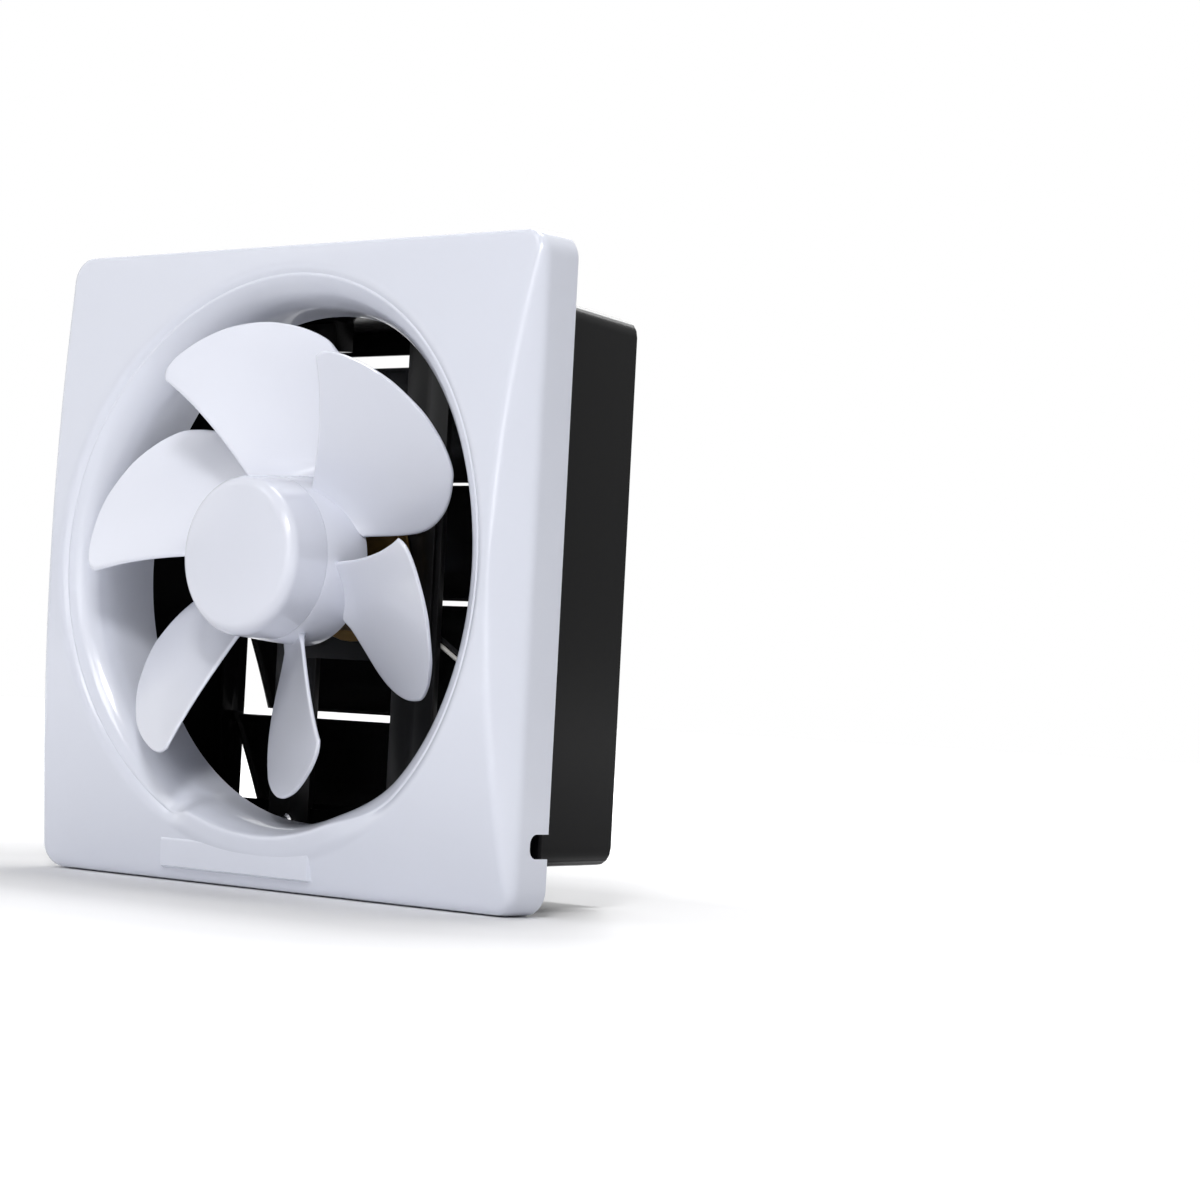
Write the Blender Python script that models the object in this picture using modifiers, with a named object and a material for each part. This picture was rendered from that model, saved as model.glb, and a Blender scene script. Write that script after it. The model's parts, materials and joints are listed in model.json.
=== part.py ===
"""Solar ventilation fan: a 10 inch wall fan with a front panel, an impeller on a motor and four louvers.

The front faces -Y, the louvers face +Y, +Z is up. All lengths are metres. The pieces are laid out from
the wall plane (Y = 0, the rear edge of the front panel) and hang on one empty that centres the fan.
"""
import math

import bmesh
import bpy
from mathutils import Matrix, Vector

# General fits
GAP = 0.0003
CUT_OVER = 0.002
ROUND_STEPS = 20
FINE_STEPS = 36

# Front panel
PANEL_WIDTH = 0.330
PANEL_HEIGHT = 0.3195
PANEL_CORNER = 0.013
PANEL_WALL = 0.0024
SKIRT_DEPTH = 0.023
CROWN_RISE = 0.0147
FACET_SLOPE_SHARES = (1.9, 1.22)
EDGE_ROUND = 0.0012
SIDE_COLUMNS = 12
CORNER_COLUMNS = 4
FACE_ROW_SHARES = (0.30, 0.62, 0.88)

# Bell mouth in the front panel
MOUTH_SIDE_MARGIN = 0.0163
MOUTH_END_MARGIN = 0.01105
MOUTH_RADIUS = min(PANEL_WIDTH / 2 - MOUTH_SIDE_MARGIN, PANEL_HEIGHT / 2 - MOUTH_END_MARGIN)
SHOULDER_WIDTH = 0.0077
SHOULDER_DEPTH = 0.0022
SHOULDER_SHARES = ((0.25, 0.08), (0.60, 0.42))
THROAT_INSET = 0.0217
THROAT_RADIUS = MOUTH_RADIUS - THROAT_INSET
THROAT_Y = 0.009
THROAT_DROP = 0.0034
FUNNEL_WALL = 0.0014
FUNNEL_SHARES = ((0.16, 0.20), (0.50, 0.43), (0.90, 0.66))

# Badge pad, snap teeth, seat ribs and cable notch of the front panel
BADGE_LEFT = -0.071
BADGE_RIGHT = 0.035
BADGE_BOTTOM = 0.0070
BADGE_TOP = 0.0215
BADGE_RISE = 0.0009
BADGE_SINK = 0.0034
TOOTH_INSET = 0.071
TOOTH_X = PANEL_WIDTH / 2 - TOOTH_INSET
TOOTH_PITCH = 0.0052
TOOTH_COUNT = 3
TOOTH_RADIUS = 0.0020
TOOTH_LENGTH = 0.0055
TOOTH_SETBACK = 0.0006
SEAT_RIB_WIDTH = 0.008
SEAT_RIB_REACH = 0.0045
SEAT_RIB_X = 0.060
SEAT_RIB_Z = 0.085
NOTCH_BOTTOM = 0.0273
NOTCH_HEIGHT = 0.0115
NOTCH_DEPTH = 0.0130
NOTCH_ROUND = 0.0040

# Housing: flange, collar and duct
FLANGE_RECESS = 0.001
FLANGE_THICK = 0.0025
FLANGE_GAP = 0.0008
FLANGE_CORNER = 0.0122
COLLAR_MARGIN = 0.005
COLLAR_RISE = 0.003
COLLAR_CORNER = 0.012
DUCT_SIDE_INSET = 0.0255
DUCT_TOP_INSET = 0.0245
DUCT_BOTTOM_INSET = 0.0205
DUCT_HALF_WIDTH = PANEL_WIDTH / 2 - DUCT_SIDE_INSET
DUCT_TOP = PANEL_HEIGHT / 2 - DUCT_TOP_INSET
DUCT_BOTTOM = PANEL_HEIGHT / 2 - DUCT_BOTTOM_INSET
DUCT_DEPTH = 0.077
DUCT_WALL = 0.0022
DUCT_CORNER = 0.009
DRAFT_SIDE = 0.0010
DRAFT_TOP = 0.0060
DRAFT_BOTTOM = 0.0010
OUTLET_SIDE_INSET = 0.0155
OUTLET_TOP_INSET = 0.0195
OUTLET_BOTTOM_INSET = 0.0190
OUTLET_HALF_WIDTH = DUCT_HALF_WIDTH - OUTLET_SIDE_INSET
OUTLET_TOP = DUCT_TOP - OUTLET_TOP_INSET
OUTLET_BOTTOM = DUCT_BOTTOM - OUTLET_BOTTOM_INSET
OUTLET_FACE = 0.0025
OUTLET_CORNER = 0.002
CHEEK_THICK = 0.0022
CHEEK_DEPTH = 0.016
SCREW_HOLE_RADIUS = 0.0022
SMALL_HOLE_RADIUS = 0.0014
SIDE_HOLE_INSET = 0.005
TOP_HOLE_INSET = 0.008
SMALL_HOLE_SIDE = 0.0434
SMALL_HOLE_X = PANEL_WIDTH / 2 - SMALL_HOLE_SIDE
SMALL_HOLE_INSET = 0.0145

# Louvers and their link
LOUVER_COUNT = 4
PITCH_SHARE = 0.25975
LOUVER_END_GAP = 0.0028
PIVOT_INSET = 0.0070
PIVOT_DROP = 0.0089
LOUVER_PITCH = (OUTLET_TOP + OUTLET_BOTTOM) * PITCH_SHARE
LOUVER_HALF_WIDTH = OUTLET_HALF_WIDTH - LOUVER_END_GAP
PIVOT_Y = DUCT_DEPTH - PIVOT_INSET
FIRST_PIVOT_Z = OUTLET_TOP - PIVOT_DROP
LOUVER_THICK = 0.0016
LOUVER_OPEN = math.radians(23.5)
LOUVER_SHORT = 0.0004
LOUVER_LENGTH = LOUVER_PITCH - LOUVER_SHORT
LOUVER_OUT = 0.0024
LOUVER_HEAD = 0.0016
LOUVER_LIP = 0.0032
LOUVER_DOWN_SHARES = (0, 0.07, 0.18, 0.34, 0.56, 0.80, 1)
LOUVER_OUT_SHARES = (0.35, 0.70, 1.08, 1.30, 1.42, 1.30, 1)
WEB_DEPTH = 0.0045
PIN_RADIUS = 0.0016
PIN_BOSS_RADIUS = 0.0032
PIN_REACH = 0.0062
CRANK_INSET = 0.0152
CRANK_X = LOUVER_HALF_WIDTH - CRANK_INSET
CRANK_ARM = 0.0125
CRANK_RISE = 0.0040
CRANK_THICK = 0.0022
CRANK_PIN_RADIUS = 0.0014
CRANK_PIN_LENGTH = 0.0050
LINK_THICK = 0.0020
LINK_WIDTH = 0.0066
LINK_END = 0.0045

# Impeller
ROTOR_RISE = 0.00365
BLADE_COUNT = 6
BLADE_THICK = 0.0021
BLADE_BASE_RADIUS = 0.0380
TIP_CLEARANCE = 0.0086
BLADE_SPAN = THROAT_RADIUS - TIP_CLEARANCE - BLADE_BASE_RADIUS
BLADE_FRONT_TURN = (58.54, 5.13, 0.68, 2.78)
BLADE_REAR_TURN = (18.51, -28.19, 27.31, 7.53)
BLADE_FRONT_Y = (-0.02346, -0.02511, -0.00506, -0.00186)
BLADE_REAR_Y = (-0.00705, 0.03003, -0.01262, -0.02179)
BLADE_BOW = (-0.00179, 0.00489)
BLADE_ROW_SHARES = (0.025, 0.199, 0.398, 0.597, 0.746, 0.846, 0.908, 0.958, 0.990, 1)
BLADE_LEAD_SHARES = (0, 0, 0, 0, 0, 0, 0.094, 0.28, 0.47, 0.56)
BLADE_TRAIL_SHARES = (1, 1, 1, 0.981, 0.961, 0.947, 0.927, 0.861, 0.748, 0.70)
BLADE_COLUMNS = 6
HUB_REAR_RADIUS = 0.0425
HUB_STEP_RADIUS = 0.0407
HUB_REAR_Y = -0.0045
HUB_STEP_Y = -0.0300
HUB_FRONT_Y = -0.0440
HUB_WALL = 0.0022
HUB_BOSS_RADIUS = 0.0085
HUB_BOSS_LENGTH = 0.0090
CAP_RADIUS = 0.0392
CAP_REAR_RADIUS = 0.0405
CAP_FRONT_Y = -0.0535
CAP_ROUND = 0.0065
CAP_DOME = 0.0016
CAP_WALL = 0.0020
CAP_BOSS_RADIUS = 0.0075

# Motor and its shaft
SHAFT_RADIUS = 0.0030
SHAFT_FRONT_Y = -0.0500
SHAFT_REAR_GAP = 0.0007
CAN_FRONT_RADIUS = 0.0330
CAN_REAR_RADIUS = 0.0310
CAN_FLANGE_RADIUS = 0.0385
CAN_FLANGE_THICK = 0.0015
CAN_FRONT_Y = -0.0215
CAN_NECK = 0.0033
CAN_WALL = 0.0014
BELL_THICK = 0.0022
BELL_BOSS_RADIUS = 0.0090
BELL_BOSS_Y = -0.0330
BEARING_RADIUS = 0.0065
BEARING_LENGTH = 0.0060
MAGNET_THICK = 0.0045
MAGNET_FRONT_Y = -0.0150
MAGNET_LENGTH = 0.0320
MAGNET_SPAN = math.radians(130.0)
CORE_RADIUS = 0.0255
CORE_FRONT_Y = -0.0140
CORE_LENGTH = 0.0280
CORE_SLOTS = 5
CORE_SLOT_WIDTH = 0.0030
COMMUTATOR_RADIUS = 0.0070
COMMUTATOR_LENGTH = 0.0050
BRUSH_WIDTH = 0.0040
BRUSH_LENGTH = 0.0100

# Motor bracket
STRAP_X = 0.0415
STRAP_WIDTH = 0.0287
STRAP_THICK = 0.0015
STRAP_FRONT_Y = 0.0330
STRAP_END_GAP = 0.0015
STRAP_RIB_RISE = 0.0020
PLATE_THICK = 0.0015
PLATE_HEIGHT = 0.0950
PLATE_MARGIN = 0.0030
BOSS_WIDTH = 0.0240
BOSS_HEIGHT = 0.0130
BOSS_DEPTH = 0.0150
SCREW_RADIUS = 0.0019
SCREW_HEAD_RADIUS = 0.0040
SCREW_HEAD_HEIGHT = 0.0020
STRAP_SCREW_LENGTH = 0.0100
PLATE_SCREW_LENGTH = 0.0062
PLATE_SCREW_Z = 0.0200

# Terminal block, its clip and the motor leads
BLOCK_SIDE_INSET = 0.0315
BLOCK_REAR_INSET = 0.0330
BLOCK_X = DUCT_HALF_WIDTH - BLOCK_SIDE_INSET
BLOCK_Y = DUCT_DEPTH - BLOCK_REAR_INSET
BLOCK_WIDTH = 0.0180
BLOCK_DEPTH = 0.0150
BLOCK_HEIGHT = 0.0110
BLOCK_COVER = 0.0020
CLIP_WIDTH = 0.0060
CLIP_THICK = 0.0010
CLIP_LEG = 0.0110
LEAD_RADIUS = 0.0011
LEAD_STRAIGHT = 0.004
LEAD_STEPS = 4
LEAD_SPACING = 0.0060

MID_Z = PANEL_HEIGHT / 2
AXIS_Z = MID_Z + ROTOR_RISE
MOUTH_Z = AXIS_Z
FLANGE_REAR_Y = -FLANGE_RECESS
FLANGE_FRONT_Y = FLANGE_REAR_Y - FLANGE_THICK
STRAP_REAR_Y = STRAP_FRONT_Y + STRAP_THICK
PLATE_FRONT_Y = STRAP_FRONT_Y - GAP - PLATE_THICK
CAN_FLANGE_Y = PLATE_FRONT_Y - GAP - CAN_FLANGE_THICK
CAN_REAR_Y = CAN_FLANGE_Y + CAN_NECK
SHAFT_REAR_Y = CAN_REAR_Y - SHAFT_REAR_GAP
BOSS_FRONT_Y = STRAP_REAR_Y + GAP
DUCT_FLOOR_Z = MID_Z - DUCT_BOTTOM + DUCT_WALL + DRAFT_BOTTOM
DUCT_CEILING_Z = MID_Z + DUCT_TOP - DUCT_WALL - DRAFT_TOP * (BOSS_FRONT_Y + BOSS_DEPTH) / DUCT_DEPTH


def louver_tip_y():
    """The furthest reach of the louvers to the rear, at rest."""
    return PIVOT_Y + LOUVER_LENGTH * math.sin(LOUVER_OPEN) + LOUVER_OUT * math.cos(LOUVER_OPEN)


FRONT_Y = CAP_FRONT_Y - CAP_DOME
CENTRE_Y = (FRONT_Y + louver_tip_y()) / 2


# Scene helpers

def clear_scene():
    for item in list(bpy.data.objects):
        bpy.data.objects.remove(item, do_unlink=True)


def new_collection(name):
    group = bpy.data.collections.new(name)
    bpy.context.scene.collection.children.link(group)
    return group


def new_material(name, colour, roughness, metallic=0.0):
    item = bpy.data.materials.new(name)
    item.use_nodes = True
    shader = item.node_tree.nodes["Principled BSDF"]
    shader.inputs["Base Color"].default_value = (*colour, 1.0)
    shader.inputs["Roughness"].default_value = roughness
    shader.inputs["Metallic"].default_value = metallic
    return item


def new_object(name, mesh, material, location=(0, 0, 0)):
    item = bpy.data.objects.new(name, mesh)
    item.location = location
    item.parent = root
    parts.objects.link(item)
    mesh.materials.clear()
    mesh.materials.append(material)
    return item


def as_tool(item):
    """Make an object a tool that only cuts or joins other objects."""
    if item.name in parts.objects:
        parts.objects.unlink(item)
        cutters.objects.link(item)
    item.hide_render = True
    item.display_type = "WIRE"
    return item


def boolean(item, tool, operation):
    step = item.modifiers.new(operation.lower(), "BOOLEAN")
    step.operation = operation
    step.solver = "EXACT"
    step.object = as_tool(tool)


def cut(item, tool):
    boolean(item, tool, "DIFFERENCE")


def join(item, tool):
    boolean(item, tool, "UNION")


def shade(mesh):
    mesh.shade_smooth()
    mesh.set_sharp_from_angle(angle=math.radians(35.0))


def mesh_of(bm, name):
    bmesh.ops.recalc_face_normals(bm, faces=bm.faces)
    mesh = bpy.data.meshes.new(name)
    bm.to_mesh(mesh)
    bm.free()
    return mesh


# Basic solids, all given by their lowest and highest corners or along the Y axis

def box_solid(name, low, high, material, radius=0.0, axis="Y", segments=3):
    """A box between two corners, with the four edges along one axis rounded."""
    low = Vector(low)
    high = Vector(high)
    size = high - low
    centre = (high + low) / 2
    bm = bmesh.new()
    bmesh.ops.create_cube(bm, size=1.0)
    bmesh.ops.scale(bm, vec=size, verts=bm.verts)
    if radius > 0:
        index = "XYZ".index(axis)
        edges = [e for e in bm.edges if abs((e.verts[0].co - e.verts[1].co)[index]) > size[index] / 2]
        bmesh.ops.bevel(bm, geom=edges, offset=radius, segments=segments, profile=0.5, affect="EDGES")
    mesh = mesh_of(bm, name)
    return new_object(name, mesh, material, centre)


def turned_solid(name, profile, material, steps=ROUND_STEPS, centre=(0, 0)):
    """A solid turned about the Y axis from a closed list of (radius, y) points, in either direction."""
    turning = sum(a[0] * b[1] - b[0] * a[1] for a, b in zip(profile, profile[1:] + profile[:1]))
    if turning > 0:
        profile = list(reversed(profile))
    bm = bmesh.new()
    verts = [bm.verts.new((radius, 0, y)) for radius, y in profile]
    for index, vert in enumerate(verts):
        following = verts[(index + 1) % len(verts)]
        if vert.co.x > 0 or following.co.x > 0:
            bm.edges.new((vert, following))
    mesh = bpy.data.meshes.new(name)
    bm.to_mesh(mesh)
    bm.free()
    item = new_object(name, mesh, material, (centre[0], 0, centre[1]))
    item.rotation_euler = (math.radians(-90.0), 0, 0)
    spin = item.modifiers.new("turn", "SCREW")
    spin.steps = steps
    spin.render_steps = steps
    spin.use_merge_vertices = True
    spin.merge_threshold = 0.0001
    return item


def cylinder_solid(name, radius, start, end, material, steps=ROUND_STEPS):
    """A cylinder between two points."""
    start = Vector(start)
    end = Vector(end)
    along = end - start
    bm = bmesh.new()
    bmesh.ops.create_cone(bm, cap_ends=True, segments=steps, radius1=radius, radius2=radius, depth=along.length)
    turn = along.to_track_quat("Z", "Y").to_matrix().to_4x4()
    bmesh.ops.transform(bm, matrix=turn, verts=bm.verts)
    mesh = mesh_of(bm, name)
    shade(mesh)
    return new_object(name, mesh, material, (start + end) / 2)


def loop_solid(name, rows, material):
    """A closed ring of rows, each a closed loop with the same number of points."""
    bm = bmesh.new()
    rings = [[bm.verts.new(point) for point in row] for row in rows]
    for index, ring in enumerate(rings):
        following = rings[(index + 1) % len(rings)]
        for column in range(len(ring)):
            after = (column + 1) % len(ring)
            bm.faces.new((ring[column], ring[after], following[after], following[column]))
    mesh = mesh_of(bm, name)
    shade(mesh)
    return new_object(name, mesh, material)


# Front panel

def arc_depth(z):
    """Depth of the crowned face in front of the wall plane at a height."""
    level = (z - MID_Z) / MID_Z
    return SKIRT_DEPTH + CROWN_RISE * (1 - level * level)


def outline_columns():
    """Points and inward normals round the panel, as seen from the front."""
    half_w = PANEL_WIDTH / 2
    half_h = PANEL_HEIGHT / 2
    reach_x = half_w - PANEL_CORNER
    reach_z = half_h - PANEL_CORNER
    columns = []
    corners = ((1, 1), (-1, 1), (-1, -1), (1, -1))
    for index, (sx, sz) in enumerate(corners):
        centre = Vector((sx * reach_x, MID_Z + sz * reach_z))
        begin = math.radians(90.0) * index
        for step in range(CORNER_COLUMNS):
            angle = begin + math.radians(90.0) * step / (CORNER_COLUMNS - 1)
            outward = Vector((math.cos(angle), math.sin(angle)))
            columns.append((centre + outward * PANEL_CORNER, -outward))
        following = corners[(index + 1) % len(corners)]
        start = columns[-1][0]
        inward = columns[-1][1]
        goal = Vector((following[0] * reach_x, MID_Z + following[1] * reach_z)) - inward * PANEL_CORNER
        for step in range(1, SIDE_COLUMNS):
            columns.append((start.lerp(goal, step / SIDE_COLUMNS), inward))
    return columns


def mouth_rows(columns, extra, steps):
    """Rows round the bell mouth: each step is (radius, depth beyond the face, share of the way to the throat)."""
    rows = []
    for radius, beyond, share in steps:
        row = []
        for point, _ in columns:
            away = Vector((point.x, point.y - MOUTH_Z)).normalized()
            x = away.x * radius
            z = MOUTH_Z + away.y * radius
            front = -arc_depth(z) - beyond + extra
            z -= THROAT_DROP * share
            row.append((x, front + (THROAT_Y - front) * share, z))
        rows.append(row)
    return rows


def panel_surface(wall):
    """Rows from the throat over the mouth and the face to the rear edge, set back by a wall."""
    columns = outline_columns()
    shift = 0 if wall == 0 else FUNNEL_WALL
    inner_radius = MOUTH_RADIUS - SHOULDER_WIDTH
    steps = [(THROAT_RADIUS + shift, 0, 1)]
    for share, depth_share in reversed(FUNNEL_SHARES):
        radius = inner_radius + (THROAT_RADIUS - inner_radius) * share
        steps.append((radius + shift, 0, depth_share))
    if wall == 0:
        steps.append((inner_radius, -SHOULDER_DEPTH, 0))
        for share, depth_share in reversed(SHOULDER_SHARES):
            steps.append((MOUTH_RADIUS - SHOULDER_WIDTH * share, -SHOULDER_DEPTH * depth_share, 0))
        steps.append((MOUTH_RADIUS, 0, 0))
    else:
        steps.append((inner_radius + wall / 2, -SHOULDER_DEPTH, 0))
        steps.append((MOUTH_RADIUS, 0, 0))
    rows = mouth_rows(columns, wall, steps)
    edge, crease, rim = [], [], []
    for point, inward in columns:
        slope = FACET_SLOPE_SHARES[0] if inward.x > 0 else FACET_SLOPE_SHARES[1]
        lens = (arc_depth(point.y) - SKIRT_DEPTH) / slope * abs(inward.x)
        outer = point + inward * wall
        side = Vector((math.copysign(lens, inward.x), 0)) if abs(inward.x) > 0.001 else Vector((0, 0))
        top = outer + inward * EDGE_ROUND + side
        edge.append((top.x, -arc_depth(top.y) + wall, top.y))
        crease.append((outer.x, -SKIRT_DEPTH + EDGE_ROUND + wall, outer.y))
        rim.append((outer.x, 0, outer.y))
    mouth = rows[-1]
    for share in FACE_ROW_SHARES:
        row = []
        for start, goal in zip(mouth, edge):
            x = start[0] + (goal[0] - start[0]) * share
            z = start[2] + (goal[2] - start[2]) * share
            row.append((x, -arc_depth(z) + wall, z))
        rows.append(row)
    return rows + [edge, crease, rim]


def build_front_panel():
    outer = panel_surface(0)
    inner = panel_surface(PANEL_WALL)
    panel = loop_solid("front_panel", outer + list(reversed(inner)), white_gloss)
    high = (BADGE_TOP + BADGE_BOTTOM) / 2
    slope = math.atan2(arc_depth(BADGE_TOP) - arc_depth(BADGE_BOTTOM), BADGE_TOP - BADGE_BOTTOM)
    front = -arc_depth(high) - BADGE_RISE
    half = (BADGE_TOP - BADGE_BOTTOM) / 2 / math.cos(slope)
    pad = box_solid("badge_pad", (BADGE_LEFT, 0, -half), (BADGE_RIGHT, BADGE_SINK, half), white_gloss)
    pad.rotation_euler = (slope, 0, 0)
    pad.location = ((BADGE_LEFT + BADGE_RIGHT) / 2, front + BADGE_SINK / 2, high)
    join(panel, pad)
    for side_x in (-1, 1):
        for side_z in (-1, 1):
            wall_z = MID_Z + side_z * (MID_Z - PANEL_WALL)
            for index in range(TOOTH_COUNT):
                x = side_x * TOOTH_X + (index - (TOOTH_COUNT - 1) / 2) * TOOTH_PITCH
                rear = -TOOTH_SETBACK
                tooth = cylinder_solid("snap_tooth", TOOTH_RADIUS, (x, rear - TOOTH_LENGTH, wall_z),
                                       (x, rear, wall_z), white_gloss, steps=4)
                join(panel, tooth)
            seat_z = wall_z - side_z * SEAT_RIB_REACH
            x = side_x * SEAT_RIB_X
            low = (x - SEAT_RIB_WIDTH / 2, -SKIRT_DEPTH + PANEL_WALL, min(wall_z + side_z * CUT_OVER / 2, seat_z))
            high_z = max(wall_z + side_z * CUT_OVER / 2, seat_z)
            rib = box_solid("seat_rib", low, (x + SEAT_RIB_WIDTH / 2, FLANGE_FRONT_Y - GAP, high_z), white_gloss)
            join(panel, rib)
            wall_x = side_x * (PANEL_WIDTH / 2 - PANEL_WALL + CUT_OVER / 2)
            seat_x = side_x * (PANEL_WIDTH / 2 - PANEL_WALL - SEAT_RIB_REACH)
            z = MID_Z + side_z * SEAT_RIB_Z
            low = (min(wall_x, seat_x), -SKIRT_DEPTH + PANEL_WALL, z - SEAT_RIB_WIDTH / 2)
            rib = box_solid("seat_rib", low, (max(wall_x, seat_x), FLANGE_FRONT_Y - GAP, z + SEAT_RIB_WIDTH / 2),
                            white_gloss)
            join(panel, rib)
    notch = box_solid("cable_notch", (PANEL_WIDTH / 2 - PANEL_WALL - CUT_OVER, -NOTCH_DEPTH, NOTCH_BOTTOM),
                      (PANEL_WIDTH / 2 + CUT_OVER, NOTCH_DEPTH, NOTCH_BOTTOM + NOTCH_HEIGHT), white_gloss,
                      radius=NOTCH_ROUND, axis="X")
    cut(panel, notch)
    return panel


# Housing

def drafted_box(name, half_width, top, bottom, front_y, rear_y, radius, material, drafts=(0, 0, 0)):
    """A rounded box along Y whose rear end is drawn in at the sides, top and bottom."""
    item = box_solid(name, (-half_width, front_y, MID_Z - bottom), (half_width, rear_y, MID_Z + top),
                     material, radius=radius, axis="Y", segments=4)
    side, high, low = drafts
    centre_z = item.location.z - MID_Z
    for vert in item.data.vertices:
        if vert.co.y > 0:
            vert.co.x -= math.copysign(side, vert.co.x)
            if vert.co.z + centre_z > 0:
                vert.co.z -= high
            else:
                vert.co.z += low
    return item


def build_housing():
    half_w = PANEL_WIDTH / 2 - PANEL_WALL - FLANGE_GAP
    half_h = PANEL_HEIGHT / 2 - PANEL_WALL - FLANGE_GAP
    housing = drafted_box("housing", half_w, half_h, half_h, FLANGE_FRONT_Y, FLANGE_REAR_Y, FLANGE_CORNER, black_gloss)
    collar = drafted_box("root_collar", DUCT_HALF_WIDTH + COLLAR_MARGIN, DUCT_TOP + COLLAR_MARGIN / 2,
                         DUCT_BOTTOM + COLLAR_MARGIN / 2, FLANGE_FRONT_Y, FLANGE_REAR_Y + COLLAR_RISE,
                         COLLAR_CORNER, black_gloss)
    join(housing, collar)
    drafts = (DRAFT_SIDE, DRAFT_TOP, DRAFT_BOTTOM)
    duct = drafted_box("duct", DUCT_HALF_WIDTH, DUCT_TOP, DUCT_BOTTOM, FLANGE_FRONT_Y, DUCT_DEPTH, DUCT_CORNER,
                       black_gloss, drafts)
    join(housing, duct)
    hollow = drafted_box("duct_hollow", DUCT_HALF_WIDTH - DUCT_WALL, DUCT_TOP - DUCT_WALL, DUCT_BOTTOM - DUCT_WALL,
                         FLANGE_FRONT_Y - CUT_OVER, DUCT_DEPTH - OUTLET_FACE, DUCT_CORNER - DUCT_WALL, black_gloss,
                         drafts)
    cut(housing, hollow)
    for side in (-1, 1):
        inner = side * OUTLET_HALF_WIDTH
        outer = side * (OUTLET_HALF_WIDTH + CHEEK_THICK)
        cheek = box_solid("pivot_cheek", (min(inner, outer), DUCT_DEPTH - CHEEK_DEPTH, MID_Z - OUTLET_BOTTOM),
                          (max(inner, outer), DUCT_DEPTH - OUTLET_FACE / 2, MID_Z + OUTLET_TOP), black_gloss)
        join(housing, cheek)
        for end in (-1, 1):
            x = side * STRAP_X
            wall = DUCT_CEILING_Z + DUCT_WALL * 0.75 if end > 0 else DUCT_FLOOR_Z - DUCT_WALL * 0.75
            inner_z = strap_end_z(end) - end * BOSS_HEIGHT
            boss = box_solid("strap_boss", (x - BOSS_WIDTH / 2, BOSS_FRONT_Y, min(wall, inner_z)),
                             (x + BOSS_WIDTH / 2, BOSS_FRONT_Y + BOSS_DEPTH, max(wall, inner_z)), black_gloss)
            join(housing, boss)
            hole = cylinder_solid("boss_hole", SCREW_RADIUS + GAP, (x, BOSS_FRONT_Y - CUT_OVER, strap_screw_z(end)),
                                  (x, BOSS_FRONT_Y + STRAP_SCREW_LENGTH + GAP, strap_screw_z(end)), black_gloss,
                                  steps=12)
            cut(housing, hole)
    outlet = box_solid("outlet", (-OUTLET_HALF_WIDTH, DUCT_DEPTH - OUTLET_FACE - CUT_OVER, MID_Z - OUTLET_BOTTOM),
                       (OUTLET_HALF_WIDTH, DUCT_DEPTH + CUT_OVER, MID_Z + OUTLET_TOP), black_gloss,
                       radius=OUTLET_CORNER, axis="Y")
    cut(housing, outlet)
    for index in range(LOUVER_COUNT):
        for side in (-1, 1):
            hole = cylinder_solid("pivot_hole", PIN_RADIUS + GAP,
                                  (side * (OUTLET_HALF_WIDTH - CUT_OVER), PIVOT_Y, pivot_z(index)),
                                  (side * (OUTLET_HALF_WIDTH + CHEEK_THICK + CUT_OVER), PIVOT_Y, pivot_z(index)),
                                  black_gloss, steps=12)
            cut(housing, hole)
    holes = [(side * (half_w - SIDE_HOLE_INSET), MID_Z, SCREW_HOLE_RADIUS) for side in (-1, 1)]
    holes += [(0, MID_Z + side * (half_h - TOP_HOLE_INSET), SCREW_HOLE_RADIUS) for side in (-1, 1)]
    holes += [(side * SMALL_HOLE_X, MID_Z + half_h - SMALL_HOLE_INSET, SMALL_HOLE_RADIUS) for side in (-1, 1)]
    for x, z, radius in holes:
        hole = cylinder_solid("flange_hole", radius, (x, FLANGE_FRONT_Y - CUT_OVER, z),
                              (x, FLANGE_REAR_Y + CUT_OVER, z), black_gloss, steps=12)
        cut(housing, hole)
    reach = TOOTH_PITCH * (TOOTH_COUNT - 1) / 2 + TOOTH_RADIUS + 2 * GAP
    for side_x in (-1, 1):
        for side_z in (-1, 1):
            edge = MID_Z + side_z * (half_h - TOOTH_RADIUS)
            outside = MID_Z + side_z * (half_h + CUT_OVER)
            slot = box_solid("tooth_slot", (side_x * TOOTH_X - reach, FLANGE_FRONT_Y - CUT_OVER, min(edge, outside)),
                             (side_x * TOOTH_X + reach, FLANGE_REAR_Y + CUT_OVER, max(edge, outside)), black_gloss)
            cut(housing, slot)
    return housing


# Louvers and link

def pivot_z(index):
    return MID_Z + FIRST_PIVOT_Z - LOUVER_PITCH * index


def louver_line():
    """Outer line of a louver from head to tip, in its own frame: Y is outward, Z is up, the pivot is at zero."""
    points = [Vector((LOUVER_HEAD * 0.6, LOUVER_HEAD))]
    for down, out in zip(LOUVER_DOWN_SHARES, LOUVER_OUT_SHARES):
        points.append(Vector((LOUVER_HEAD * 0.6 + (LOUVER_OUT - LOUVER_HEAD * 0.6) * out, -LOUVER_LENGTH * down)))
    return points


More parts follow.
